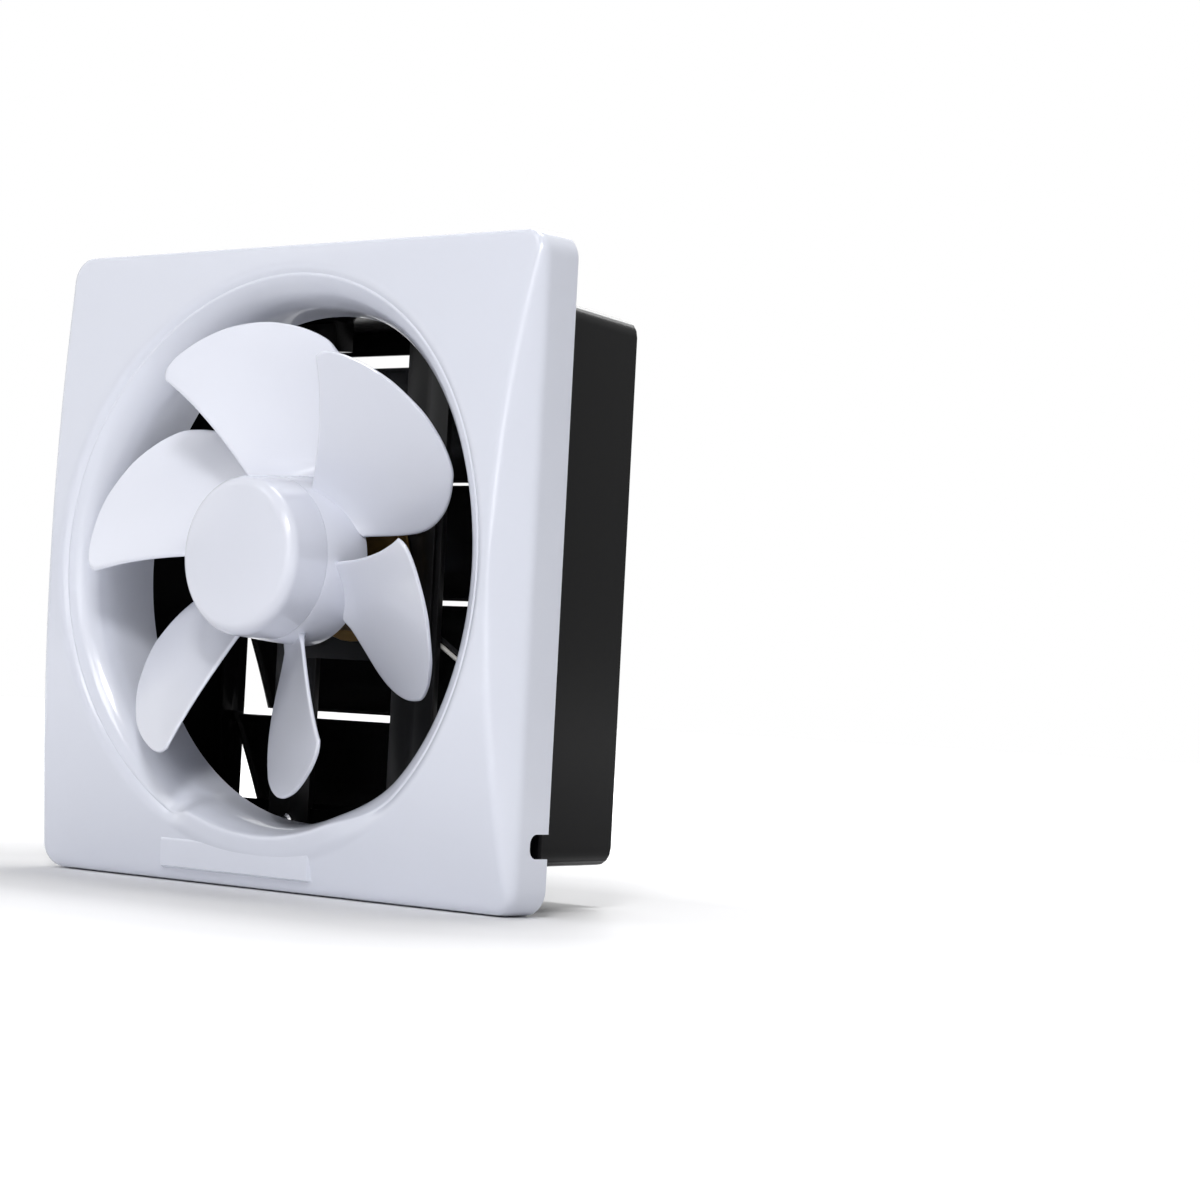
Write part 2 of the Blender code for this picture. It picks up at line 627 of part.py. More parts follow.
def build_louver(index):
    outer = louver_line()
    inner = [point - Vector((LOUVER_THICK, 0)) for point in outer]
    tip = outer[-1]
    lip = [tip + Vector((-LOUVER_LIP, 0)), tip + Vector((-LOUVER_LIP, LOUVER_THICK))]
    turn_in = inner[-1] + Vector((0, LOUVER_THICK))
    section = outer + lip + [turn_in] + list(reversed(inner[:-1]))
    bm = bmesh.new()
    face = bm.faces.new([bm.verts.new((-LOUVER_HALF_WIDTH, y, z)) for y, z in section])
    swept = bmesh.ops.extrude_face_region(bm, geom=[face])
    moved = [v for v in swept["geom"] if isinstance(v, bmesh.types.BMVert)]
    bmesh.ops.translate(bm, vec=(2 * LOUVER_HALF_WIDTH, 0, 0), verts=moved)
    name = "louver_%d" % (index + 1)
    mesh = mesh_of(bm, name)
    shade(mesh)
    louver = new_object(name, mesh, black_gloss)
    for side in (-1, 1):
        start = side * LOUVER_HALF_WIDTH
        goal = side * (LOUVER_HALF_WIDTH - LOUVER_THICK)
        bm = bmesh.new()
        spine = inner[1:-1] + [inner[-1] + Vector((0, LOUVER_THICK / 2))]
        outline = [Vector((-PIN_BOSS_RADIUS, PIN_BOSS_RADIUS))]
        outline += [point - Vector((WEB_DEPTH - LOUVER_THICK, 0)) for point in spine]
        outline += [point + Vector((LOUVER_THICK / 2, 0)) for point in reversed(spine)]
        outline.append(Vector((0, PIN_BOSS_RADIUS)))
        face = bm.faces.new([bm.verts.new((start, y, z)) for y, z in outline])
        swept = bmesh.ops.extrude_face_region(bm, geom=[face])
        moved = [v for v in swept["geom"] if isinstance(v, bmesh.types.BMVert)]
        bmesh.ops.translate(bm, vec=(goal - start, 0, 0), verts=moved)
        web = new_object("side_web", mesh_of(bm, "side_web"), black_gloss)
        join(louver, web)
        boss = cylinder_solid("pin_boss", PIN_BOSS_RADIUS, (side * (LOUVER_HALF_WIDTH - LOUVER_THICK), 0, 0),
                              (side * (LOUVER_HALF_WIDTH + LOUVER_THICK), 0, 0), black_gloss, steps=12)
        join(louver, boss)
        pin = cylinder_solid("pivot_pin", PIN_RADIUS, (side * LOUVER_HALF_WIDTH, 0, 0),
                             (side * (LOUVER_HALF_WIDTH + PIN_REACH), 0, 0), black_gloss, steps=12)
        join(louver, pin)
    crank_y, crank_z = crank_local()
    bm = bmesh.new()
    outline = [Vector((crank_y - 2 * CRANK_PIN_RADIUS, crank_z)), Vector((crank_y, crank_z - 2 * CRANK_PIN_RADIUS)),
               inner[3] + Vector((LOUVER_THICK / 2, 0)), inner[1] + Vector((LOUVER_THICK / 2, 0)),
               Vector((crank_y, crank_z + 2 * CRANK_PIN_RADIUS))]
    face = bm.faces.new([bm.verts.new((CRANK_X, y, z)) for y, z in outline])
    swept = bmesh.ops.extrude_face_region(bm, geom=[face])
    moved = [v for v in swept["geom"] if isinstance(v, bmesh.types.BMVert)]
    bmesh.ops.translate(bm, vec=(CRANK_THICK, 0, 0), verts=moved)
    crank = new_object("crank", mesh_of(bm, "crank"), black_gloss)
    join(louver, crank)
    pin = cylinder_solid("crank_pin", CRANK_PIN_RADIUS, (CRANK_X + CRANK_THICK / 2, crank_y, crank_z),
                         (CRANK_X - CRANK_PIN_LENGTH, crank_y, crank_z), black_gloss, steps=12)
    join(louver, pin)
    louver.location = (0, PIVOT_Y, pivot_z(index))
    louver.rotation_euler = (LOUVER_OPEN, 0, 0)
    for step in louver.modifiers:
        step.object.parent = louver
        step.object.matrix_parent_inverse = Matrix.Identity(4)
    return louver


def crank_local():
    """The link pin on a louver, in the louver's own frame."""
    return -CRANK_ARM, CRANK_RISE


def crank_world(index):
    y, z = crank_local()
    cos_open = math.cos(LOUVER_OPEN)
    sin_open = math.sin(LOUVER_OPEN)
    return PIVOT_Y + y * cos_open - z * sin_open, pivot_z(index) + y * sin_open + z * cos_open


def build_link_bar():
    first_y, first_z = crank_world(0)
    _, last_z = crank_world(LOUVER_COUNT - 1)
    high = CRANK_X - GAP
    link = box_solid("link_bar", (high - LINK_THICK, first_y - LINK_WIDTH / 2, last_z - LINK_END),
                     (high, first_y + LINK_WIDTH / 2, first_z + LINK_END), black_satin)
    for index in range(LOUVER_COUNT):
        y, z = crank_world(index)
        hole = cylinder_solid("link_hole", CRANK_PIN_RADIUS + GAP, (high + CUT_OVER, y, z),
                              (high - LINK_THICK - CUT_OVER, y, z), black_satin, steps=12)
        cut(link, hole)
    return link


# Impeller

def powers(terms, share):
    """Value of a polynomial in a share."""
    return sum(term * share ** order for order, term in enumerate(terms))


def hub_radius(y):
    """Outer radius of the hub at a depth."""
    along = (y - HUB_STEP_Y) / (HUB_REAR_Y - HUB_STEP_Y)
    return HUB_STEP_RADIUS + (HUB_REAR_RADIUS - HUB_STEP_RADIUS) * along


def blade_point(row, column):
    """A point of the blade's middle surface from root to tip and from its front edge to its rear edge."""
    lead = BLADE_LEAD_SHARES[row]
    across = lead + (BLADE_TRAIL_SHARES[row] - lead) * column / BLADE_COLUMNS
    out = BLADE_ROW_SHARES[row]
    radius = BLADE_BASE_RADIUS + BLADE_SPAN * out
    front_turn = powers(BLADE_FRONT_TURN, out)
    angle = math.radians(front_turn + (powers(BLADE_REAR_TURN, out) - front_turn) * across)
    front = powers(BLADE_FRONT_Y, out)
    bow = powers(BLADE_BOW, out) * 4 * across * (1 - across)
    y = front + (powers(BLADE_REAR_Y, out) - front) * across - bow
    if row == 0:
        radius = hub_radius(y) - HUB_WALL / 2
    return Vector((radius * math.cos(angle), y, radius * math.sin(angle)))


def build_blade(index):
    bm = bmesh.new()
    rows = [[bm.verts.new(blade_point(row, column)) for column in range(BLADE_COLUMNS + 1)]
            for row in range(len(BLADE_ROW_SHARES))]
    for low, high in zip(rows, rows[1:]):
        for column in range(BLADE_COLUMNS):
            bm.faces.new((low[column], low[column + 1], high[column + 1], high[column]))
    blade = new_object("blade", mesh_of(bm, "blade"), white_blade, (0, 0, AXIS_Z))
    blade.rotation_euler = (0, -math.tau * index / BLADE_COUNT, 0)
    skin = blade.modifiers.new("thickness", "SOLIDIFY")
    skin.thickness = BLADE_THICK
    skin.offset = 0
    return blade


def build_impeller():
    spigot = CAP_RADIUS - CAP_WALL - GAP
    disc_y = HUB_FRONT_Y + HUB_WALL
    profile = [(HUB_REAR_RADIUS, HUB_REAR_Y), (HUB_REAR_RADIUS - HUB_WALL, HUB_REAR_Y),
               (HUB_STEP_RADIUS - HUB_WALL, HUB_STEP_Y + HUB_WALL), (spigot - HUB_WALL, HUB_STEP_Y + HUB_WALL),
               (spigot - HUB_WALL, disc_y), (HUB_BOSS_RADIUS, disc_y), (HUB_BOSS_RADIUS, HUB_FRONT_Y + HUB_BOSS_LENGTH),
               (SHAFT_RADIUS + GAP, HUB_FRONT_Y + HUB_BOSS_LENGTH), (SHAFT_RADIUS + GAP, HUB_FRONT_Y),
               (spigot, HUB_FRONT_Y), (spigot, HUB_STEP_Y), (HUB_STEP_RADIUS, HUB_STEP_Y)]
    impeller = turned_solid("impeller", profile, white_blade, steps=FINE_STEPS, centre=(0, AXIS_Z))
    for index in range(BLADE_COUNT):
        join(impeller, build_blade(index))
    return impeller


def build_spinner_cap():
    rear = HUB_STEP_Y - GAP
    inner = CAP_RADIUS - CAP_WALL
    profile = [(CAP_REAR_RADIUS, rear), (inner, rear), (inner, CAP_FRONT_Y + CAP_ROUND),
               (CAP_RADIUS - CAP_ROUND, CAP_FRONT_Y + CAP_WALL), (CAP_BOSS_RADIUS, CAP_FRONT_Y + CAP_WALL),
               (CAP_BOSS_RADIUS, HUB_FRONT_Y - GAP), (SHAFT_RADIUS + GAP, HUB_FRONT_Y - GAP),
               (SHAFT_RADIUS + GAP, SHAFT_FRONT_Y - GAP), (0, SHAFT_FRONT_Y - GAP), (0, CAP_FRONT_Y - CAP_DOME),
               (CAP_RADIUS * 0.5, CAP_FRONT_Y - CAP_DOME * 0.75)]
    for step in range(5):
        angle = math.radians(90.0) * step / 4
        profile.append((CAP_RADIUS - CAP_ROUND * (1 - math.sin(angle)), CAP_FRONT_Y + CAP_ROUND * (1 - math.cos(angle))))
    return turned_solid("spinner_cap", profile, white_blade, steps=FINE_STEPS, centre=(0, AXIS_Z))


# Motor

def build_motor():
    can = turned_solid("motor_can", [
        (CAN_FRONT_RADIUS, CAN_FRONT_Y), (CAN_FRONT_RADIUS - CAN_WALL, CAN_FRONT_Y),
        (CAN_FRONT_RADIUS - CAN_WALL, CAN_FLANGE_Y), (CAN_REAR_RADIUS - CAN_WALL, CAN_FLANGE_Y),
        (CAN_REAR_RADIUS - CAN_WALL, CAN_REAR_Y - CAN_WALL), (BEARING_RADIUS + GAP, CAN_REAR_Y - CAN_WALL),
        (BEARING_RADIUS + GAP, CAN_REAR_Y), (CAN_REAR_RADIUS, CAN_REAR_Y),
        (CAN_REAR_RADIUS, CAN_FLANGE_Y + CAN_FLANGE_THICK), (CAN_FLANGE_RADIUS, CAN_FLANGE_Y + CAN_FLANGE_THICK),
        (CAN_FLANGE_RADIUS, CAN_FLANGE_Y), (CAN_FRONT_RADIUS, CAN_FLANGE_Y)], bronze, steps=FINE_STEPS,
        centre=(0, AXIS_Z))
    bell_radius = CAN_FRONT_RADIUS - CAN_WALL - GAP
    turned_solid("motor_end_bell", [
        (bell_radius, CAN_FRONT_Y), (BELL_BOSS_RADIUS, CAN_FRONT_Y), (BELL_BOSS_RADIUS, BELL_BOSS_Y),
        (SHAFT_RADIUS + 2 * GAP, BELL_BOSS_Y), (SHAFT_RADIUS + 2 * GAP, BELL_BOSS_Y + PLATE_THICK),
        (BEARING_RADIUS + GAP, BELL_BOSS_Y + PLATE_THICK), (BEARING_RADIUS + GAP, CAN_FRONT_Y + BELL_THICK),
        (bell_radius, CAN_FRONT_Y + BELL_THICK)], zinc, steps=FINE_STEPS, centre=(0, AXIS_Z))
    front = BELL_BOSS_Y + PLATE_THICK + GAP
    for name, start in (("front_bearing", front), ("rear_bearing", CAN_REAR_Y - BEARING_LENGTH)):
        turned_solid(name, [(BEARING_RADIUS, start), (SHAFT_RADIUS + GAP, start),
                            (SHAFT_RADIUS + GAP, start + BEARING_LENGTH), (BEARING_RADIUS, start + BEARING_LENGTH)],
                     brass, centre=(0, AXIS_Z))
    cylinder_solid("motor_shaft", SHAFT_RADIUS, (0, SHAFT_FRONT_Y, AXIS_Z), (0, SHAFT_REAR_Y, AXIS_Z), steel)
    for name, middle in (("magnet_left", math.pi), ("magnet_right", 0)):
        build_magnet(name, middle)
    core = turned_solid("armature_core", [
        (CORE_RADIUS, CORE_FRONT_Y), (SHAFT_RADIUS + GAP, CORE_FRONT_Y),
        (SHAFT_RADIUS + GAP, CORE_FRONT_Y + CORE_LENGTH), (CORE_RADIUS, CORE_FRONT_Y + CORE_LENGTH)], copper,
        steps=ROUND_STEPS, centre=(0, AXIS_Z))
    for index in range(CORE_SLOTS):
        angle = math.tau * index / CORE_SLOTS
        slot = box_solid("core_slot", (CORE_RADIUS / 2, CORE_FRONT_Y - CUT_OVER, -CORE_SLOT_WIDTH / 2),
                         (CORE_RADIUS + CUT_OVER, CORE_FRONT_Y + CORE_LENGTH + CUT_OVER, CORE_SLOT_WIDTH / 2), copper)
        away = slot.location.x
        slot.location = (away * math.cos(angle), slot.location.y, AXIS_Z + away * math.sin(angle))
        slot.rotation_euler = (0, -angle, 0)
        cut(core, slot)
    comm_y = CORE_FRONT_Y + CORE_LENGTH + GAP
    turned_solid("commutator", [
        (COMMUTATOR_RADIUS, comm_y), (SHAFT_RADIUS + GAP, comm_y),
        (SHAFT_RADIUS + GAP, comm_y + COMMUTATOR_LENGTH), (COMMUTATOR_RADIUS, comm_y + COMMUTATOR_LENGTH)], brass,
        centre=(0, AXIS_Z))
    for name, side in (("brush_left", -1), ("brush_right", 1)):
        near = side * (COMMUTATOR_RADIUS + GAP)
        far = side * (COMMUTATOR_RADIUS + GAP + BRUSH_LENGTH)
        box_solid(name, (min(near, far), comm_y + GAP, AXIS_Z - BRUSH_WIDTH / 2),
                  (max(near, far), comm_y + COMMUTATOR_LENGTH - GAP, AXIS_Z + BRUSH_WIDTH / 2), carbon)
    return can


def build_magnet(name, middle):
    """A curved ferrite magnet inside the wide part of the can."""
    outer = CAN_FRONT_RADIUS - CAN_WALL - GAP
    inner = outer - MAGNET_THICK
    count = 9
    angles = [middle - MAGNET_SPAN / 2 + MAGNET_SPAN * step / (count - 1) for step in range(count)]
    section = [(outer * math.cos(a), outer * math.sin(a)) for a in angles]
    section += [(inner * math.cos(a), inner * math.sin(a)) for a in reversed(angles)]
    bm = bmesh.new()
    face = bm.faces.new([bm.verts.new((x, 0, z)) for x, z in section])
    swept = bmesh.ops.extrude_face_region(bm, geom=[face])
    moved = [v for v in swept["geom"] if isinstance(v, bmesh.types.BMVert)]
    bmesh.ops.translate(bm, vec=(0, MAGNET_LENGTH, 0), verts=moved)
    new_object(name, mesh_of(bm, name), ferrite, (0, MAGNET_FRONT_Y, AXIS_Z))


# Motor bracket

def strap_end_z(end):
    """Height of a strap's upper or lower end inside the duct."""
    if end > 0:
        return DUCT_CEILING_Z - STRAP_END_GAP
    return DUCT_FLOOR_Z + STRAP_END_GAP


def strap_screw_z(end):
    return strap_end_z(end) - end * BOSS_HEIGHT / 2


def screw_solid(name, x, z, front_y, length, head_radius=SCREW_HEAD_RADIUS):
    """A pan head screw along +Y, its head's underside at front_y."""
    head = front_y - SCREW_HEAD_HEIGHT
    profile = [(SCREW_RADIUS, front_y + length), (SCREW_RADIUS, front_y), (head_radius, front_y),
               (head_radius, head + SCREW_HEAD_HEIGHT / 2), (head_radius * 0.7, head), (0, head), (0, front_y + length)]
    return turned_solid(name, profile, steel, steps=12, centre=(x, z))


def build_bracket():
    for name, side in (("bracket_strap_left", -1), ("bracket_strap_right", 1)):
        x = side * STRAP_X
        strap = box_solid(name, (x - STRAP_WIDTH / 2, STRAP_FRONT_Y, strap_end_z(-1)),
                          (x + STRAP_WIDTH / 2, STRAP_REAR_Y, strap_end_z(1)), black_steel)
        for edge in (-1, 1):
            rib_x = x + edge * (STRAP_WIDTH / 2 - STRAP_THICK / 2)
            rib = box_solid("strap_flange", (rib_x - STRAP_THICK / 2, STRAP_FRONT_Y + STRAP_THICK / 2,
                                             strap_end_z(-1) + BOSS_HEIGHT + 2 * GAP),
                            (rib_x + STRAP_THICK / 2, STRAP_REAR_Y + STRAP_RIB_RISE,
                             strap_end_z(1) - BOSS_HEIGHT - 2 * GAP), black_steel)
            join(strap, rib)
        for end in (-1, 1):
            cut(strap, strap_hole(x, strap_screw_z(end)))
            screw_solid("strap_screw_%s_%s" % ("left" if side < 0 else "right", "top" if end > 0 else "bottom"),
                        x, strap_screw_z(end), STRAP_FRONT_Y - GAP, STRAP_SCREW_LENGTH)
            cut(strap, strap_hole(x, AXIS_Z + end * PLATE_SCREW_Z))
            screw_solid("plate_screw_%s_%s" % ("left" if side < 0 else "right", "top" if end > 0 else "bottom"),
                        x, AXIS_Z + end * PLATE_SCREW_Z, PLATE_FRONT_Y - GAP, PLATE_SCREW_LENGTH)
    reach = STRAP_X + STRAP_WIDTH / 2 - PLATE_MARGIN
    plate = box_solid("motor_plate", (-reach, PLATE_FRONT_Y, AXIS_Z - PLATE_HEIGHT / 2),
                      (reach, PLATE_FRONT_Y + PLATE_THICK, AXIS_Z + PLATE_HEIGHT / 2), black_steel,
                      radius=PLATE_MARGIN, axis="Y")
    bore = cylinder_solid("plate_bore", CAN_REAR_RADIUS + GAP, (0, PLATE_FRONT_Y - CUT_OVER, AXIS_Z),
                          (0, PLATE_FRONT_Y + PLATE_THICK + CUT_OVER, AXIS_Z), black_steel, steps=FINE_STEPS)
    cut(plate, bore)
    for side in (-1, 1):
        for end in (-1, 1):
            hole = strap_hole(side * STRAP_X, AXIS_Z + end * PLATE_SCREW_Z)
            cut(plate, hole)


def strap_hole(x, z):
    return cylinder_solid("strap_hole", SCREW_RADIUS + GAP, (x, PLATE_FRONT_Y - CUT_OVER, z),
                          (x, STRAP_REAR_Y + CUT_OVER, z), black_steel, steps=12)


# Terminal block and leads

def build_terminals():
    floor = DUCT_FLOOR_Z + GAP
    block = box_solid("terminal_block", (BLOCK_X - BLOCK_WIDTH / 2, BLOCK_Y, floor),
                      (BLOCK_X + BLOCK_WIDTH / 2, BLOCK_Y + BLOCK_DEPTH, floor + BLOCK_HEIGHT), black_satin,
                      radius=BLOCK_COVER / 2, axis="Z", segments=2)
    for side in (-1, 1):
        x = BLOCK_X + side * LEAD_SPACING / 2
        hole = cylinder_solid("block_hole", LEAD_RADIUS + GAP, (x, BLOCK_Y - CUT_OVER, floor + BLOCK_HEIGHT / 2),
                              (x, BLOCK_Y + BLOCK_DEPTH / 2, floor + BLOCK_HEIGHT / 2), black_satin, steps=12)
        cut(block, hole)
    top = floor + BLOCK_HEIGHT + GAP
    clip = box_solid("lead_clip", (BLOCK_X - CLIP_WIDTH / 2, BLOCK_Y, top),
                     (BLOCK_X + CLIP_WIDTH / 2, BLOCK_Y + BLOCK_DEPTH + CLIP_THICK + GAP, top + CLIP_THICK), brass)
    leg = box_solid("clip_leg", (BLOCK_X - CLIP_WIDTH / 2, BLOCK_Y + BLOCK_DEPTH + GAP, top - CLIP_LEG + CLIP_THICK),
                    (BLOCK_X + CLIP_WIDTH / 2, BLOCK_Y + BLOCK_DEPTH + GAP + CLIP_THICK, top + CLIP_THICK / 2), brass)
    join(clip, leg)
    lead_z = floor + BLOCK_HEIGHT / 2
    build_lead("motor_lead_white", -1, lead_z, lead_white)
    build_lead("motor_lead_black", 1, lead_z, black_satin)


def build_lead(name, side, end_z, material):
    """A motor lead from the can's rear end over to the duct's side and down to the terminal block."""
    x = BLOCK_X + side * LEAD_SPACING / 2
    start_z = AXIS_Z - CAN_REAR_RADIUS / 2
    start_x = CAN_REAR_RADIUS / 2 + side * LEAD_SPACING / 2
    rear = CAN_REAR_Y + GAP
    bend_y = rear + 2 * LEAD_STRAIGHT
    route = [(start_x, rear + LEAD_STRAIGHT, start_z), (start_x + LEAD_STRAIGHT, bend_y, start_z - LEAD_STRAIGHT),
             ((start_x + x) / 2, bend_y, start_z - BLOCK_X / 4), (x, bend_y, (start_z + end_z) / 2),
             (x, bend_y - LEAD_STRAIGHT, end_z + 3 * LEAD_STRAIGHT), (x, BLOCK_Y - LEAD_STRAIGHT, end_z)]
    curve = bpy.data.curves.new(name, "CURVE")
    curve.dimensions = "3D"
    curve.bevel_depth = LEAD_RADIUS
    curve.bevel_resolution = 1
    curve.resolution_u = 1
    curve.use_fill_caps = True
    points = [Vector((start_x, rear, start_z))] + smooth_route([Vector(point) for point in route], LEAD_STEPS)
    points.append(Vector((x, BLOCK_Y + BLOCK_DEPTH / 4, end_z)))
    spline = curve.splines.new("POLY")
    spline.points.add(len(points) - 1)
    for spot, point in zip(spline.points, points):
        spot.co = (*point, 1.0)
    item = bpy.data.objects.new(name, curve)
    item.parent = root
    parts.objects.link(item)
    curve.materials.append(material)
    return item


def smooth_route(points, steps):
    """Points along a smooth curve through a list of points, with straight ends."""
    ends = [points[0] * 2 - points[1]] + points + [points[-1] * 2 - points[-2]]
    result = []
    for index in range(1, len(ends) - 2):
        before, start, goal, after = ends[index - 1:index + 3]
        for step in range(steps):
            t = step / steps
            result.append(0.5 * (2 * start + (goal - before) * t + (2 * before - 5 * start + 4 * goal - after) * t * t
                                 + (3 * start - before - 3 * goal + after) * t * t * t))
    result.append(points[-1])
    return result


clear_scene()
parts = new_collection("solar_ventilation_fan")
cutters = new_collection("cutters")
root = bpy.data.objects.new("fan_root", None)
root.location = (0, -CENTRE_Y, 0)
parts.objects.link(root)

white_gloss = new_material("white_gloss", (0.74, 0.76, 0.82), 0.28)
white_blade = new_material("white_blade", (0.72, 0.74, 0.79), 0.32)
black_gloss = new_material("black_gloss", (0.012, 0.012, 0.013), 0.25)
black_satin = new_material("black_satin", (0.02, 0.02, 0.02), 0.5)
black_steel = new_material("black_steel", (0.02, 0.02, 0.022), 0.4, 0.5)
bronze = new_material("bronze", (0.10, 0.065, 0.022), 0.35, 0.8)
zinc = new_material("zinc", (0.5, 0.5, 0.5), 0.35, 1.0)
steel = new_material("steel", (0.55, 0.55, 0.56), 0.25, 1.0)
brass = new_material("brass", (0.6, 0.43, 0.16), 0.3, 1.0)
copper = new_material("copper", (0.5, 0.22, 0.1), 0.4, 0.9)
ferrite = new_material("ferrite", (0.06, 0.06, 0.065), 0.7)
carbon = new_material("carbon", (0.03, 0.03, 0.03), 0.6)
lead_white = new_material("lead_white", (0.75, 0.73, 0.68), 0.45)

build_front_panel()
build_housing()
for louver_index in range(LOUVER_COUNT):
    build_louver(louver_index)
build_link_bar()
build_impeller()
build_spinner_cap()
build_motor()
build_bracket()
build_terminals()
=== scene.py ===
"""The looks of a solar ventilation fan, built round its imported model. Lengths are metres in the model's frame."""

import json
import math

import bmesh
import bpy
from mathutils import Matrix, Vector


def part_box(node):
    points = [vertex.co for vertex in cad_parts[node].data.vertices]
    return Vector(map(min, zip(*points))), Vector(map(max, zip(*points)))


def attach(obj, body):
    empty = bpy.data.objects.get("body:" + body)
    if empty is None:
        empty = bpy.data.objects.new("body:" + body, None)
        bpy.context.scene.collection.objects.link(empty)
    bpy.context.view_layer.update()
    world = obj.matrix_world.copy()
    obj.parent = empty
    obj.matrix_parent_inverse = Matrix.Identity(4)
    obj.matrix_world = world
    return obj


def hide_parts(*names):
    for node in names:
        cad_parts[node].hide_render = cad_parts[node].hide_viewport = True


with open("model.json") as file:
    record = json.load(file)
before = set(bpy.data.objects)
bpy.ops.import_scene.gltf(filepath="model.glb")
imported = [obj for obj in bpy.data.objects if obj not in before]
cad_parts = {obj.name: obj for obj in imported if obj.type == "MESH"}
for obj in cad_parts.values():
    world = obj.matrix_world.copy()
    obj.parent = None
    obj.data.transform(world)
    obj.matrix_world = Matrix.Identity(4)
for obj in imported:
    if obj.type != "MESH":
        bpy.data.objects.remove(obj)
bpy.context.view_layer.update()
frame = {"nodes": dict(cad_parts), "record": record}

# The layout below counts Y from the wall plane, the rear edge of the front panel's skirt.
# The throat of the bell mouth ends behind that plane.
THROAT_Y = 0.009
WALL_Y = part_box("front_panel")[1][1] - THROAT_Y

# Heights of the panel's middle, the bell mouth and the rotor's axis
MID_Z = 0.15975
MOUTH_Z = 0.1618
AXIS_Z = 0.1634


# Materials

def new_material(name, colour, roughness, metallic=0.0, coat=0.0, mirror=0.5):
    """A plain shader that add_grain completes."""
    item = bpy.data.materials.new(name)
    item.use_nodes = True
    shader = item.node_tree.nodes["Principled BSDF"]
    shader.inputs["Base Color"].default_value = (*colour, 1.0)
    shader.inputs["Roughness"].default_value = roughness
    shader.inputs["Metallic"].default_value = metallic
    shader.inputs["Coat Weight"].default_value = coat
    shader.inputs["Specular IOR Level"].default_value = mirror
    shader.inputs["Coat Roughness"].default_value = 0.05
    return item


def add_grain(item, scale, height, rough_low, rough_high, tint=0.0, stretch=(1, 1, 1)):
    """A fine grain: bump, roughness and a faint colour variation from noise."""
    tree = item.node_tree
    nodes, links = tree.nodes, tree.links
    shader = nodes["Principled BSDF"]
    place = nodes.new("ShaderNodeTexCoord")
    squeeze = nodes.new("ShaderNodeMapping")
    squeeze.inputs["Scale"].default_value = stretch
    links.new(place.outputs["Object"], squeeze.inputs["Vector"])
    fine = nodes.new("ShaderNodeTexNoise")
    fine.inputs["Scale"].default_value = scale
    fine.inputs["Detail"].default_value = 3.0
    links.new(squeeze.outputs["Vector"], fine.inputs["Vector"])
    wave = nodes.new("ShaderNodeTexNoise")
    wave.inputs["Scale"].default_value = scale / 40
    wave.inputs["Detail"].default_value = 1.0
    links.new(squeeze.outputs["Vector"], wave.inputs["Vector"])
    low = nodes.new("ShaderNodeBump")
    low.inputs["Strength"].default_value = 0.25
    low.inputs["Distance"].default_value = height * 10
    links.new(wave.outputs["Fac"], low.inputs["Height"])
    bump = nodes.new("ShaderNodeBump")
    bump.inputs["Strength"].default_value = 0.4
    bump.inputs["Distance"].default_value = height
    links.new(fine.outputs["Fac"], bump.inputs["Height"])
    links.new(low.outputs["Normal"], bump.inputs["Normal"])
    links.new(bump.outputs["Normal"], shader.inputs["Normal"])
    wide = nodes.new("ShaderNodeTexNoise")
    wide.inputs["Scale"].default_value = scale / 60
    wide.inputs["Detail"].default_value = 4.0
    links.new(squeeze.outputs["Vector"], wide.inputs["Vector"])
    ramp = nodes.new("ShaderNodeMapRange")
    ramp.inputs["To Min"].default_value = rough_low
    ramp.inputs["To Max"].default_value = rough_high
    links.new(wide.outputs["Fac"], ramp.inputs["Value"])
    links.new(ramp.outputs["Result"], shader.inputs["Roughness"])
    if tint:
        colour = tuple(shader.inputs["Base Color"].default_value)[:3]
        shade = nodes.new("ShaderNodeMix")
        shade.data_type = "RGBA"
        shade.inputs[6].default_value = (*[value * (1 - tint) for value in colour], 1.0)
        shade.inputs[7].default_value = (*[min(1, value * (1 + tint)) for value in colour], 1.0)
        links.new(wide.outputs["Fac"], shade.inputs[0])
        links.new(shade.outputs[2], shader.inputs["Base Color"])
    return item


white_panel = add_grain(new_material("white_panel", (0.735, 0.76, 0.85), 0.2, coat=0.5),
                        900, 0.000004, 0.18, 0.24, 0.01)
white_blade = add_grain(new_material("white_blade", (0.745, 0.765, 0.85), 0.25, coat=0.4),
                        900, 0.000004, 0.22, 0.28, 0.01)
black_plastic = add_grain(new_material("black_plastic", (0.0045, 0.0045, 0.005), 0.25, mirror=0.03),
                          700, 0.000006, 0.16, 0.24, 0.15)
louver_plastic = add_grain(new_material("louver_plastic", (0.007, 0.007, 0.0075), 0.2, mirror=0.3),
                           700, 0.000006, 0.16, 0.24, 0.15)
black_satin = add_grain(new_material("black_satin_plastic", (0.010, 0.010, 0.011), 0.5, mirror=0.25),
                        700, 0.00003, 0.4, 0.5, 0.15)
black_steel = add_grain(new_material("black_paint", (0.007, 0.007, 0.0075), 0.4, mirror=0.25),
                        500, 0.00003, 0.3, 0.42, 0.15)
bronze = add_grain(new_material("bronze_coat", (0.16, 0.095, 0.026), 0.35, 0.8),
                   500, 0.00002, 0.26, 0.4, 0.12, (1, 6, 1))
zinc = add_grain(new_material("zinc_plate", (0.5, 0.5, 0.5), 0.35, 1.0), 500, 0.00002, 0.3, 0.42, 0.08)
steel = add_grain(new_material("bright_steel", (0.55, 0.55, 0.56), 0.25, 1.0), 500, 0.00002, 0.2, 0.32, 0.05)
brass = add_grain(new_material("plain_brass", (0.6, 0.43, 0.16), 0.3, 1.0), 500, 0.00002, 0.25, 0.35, 0.08)
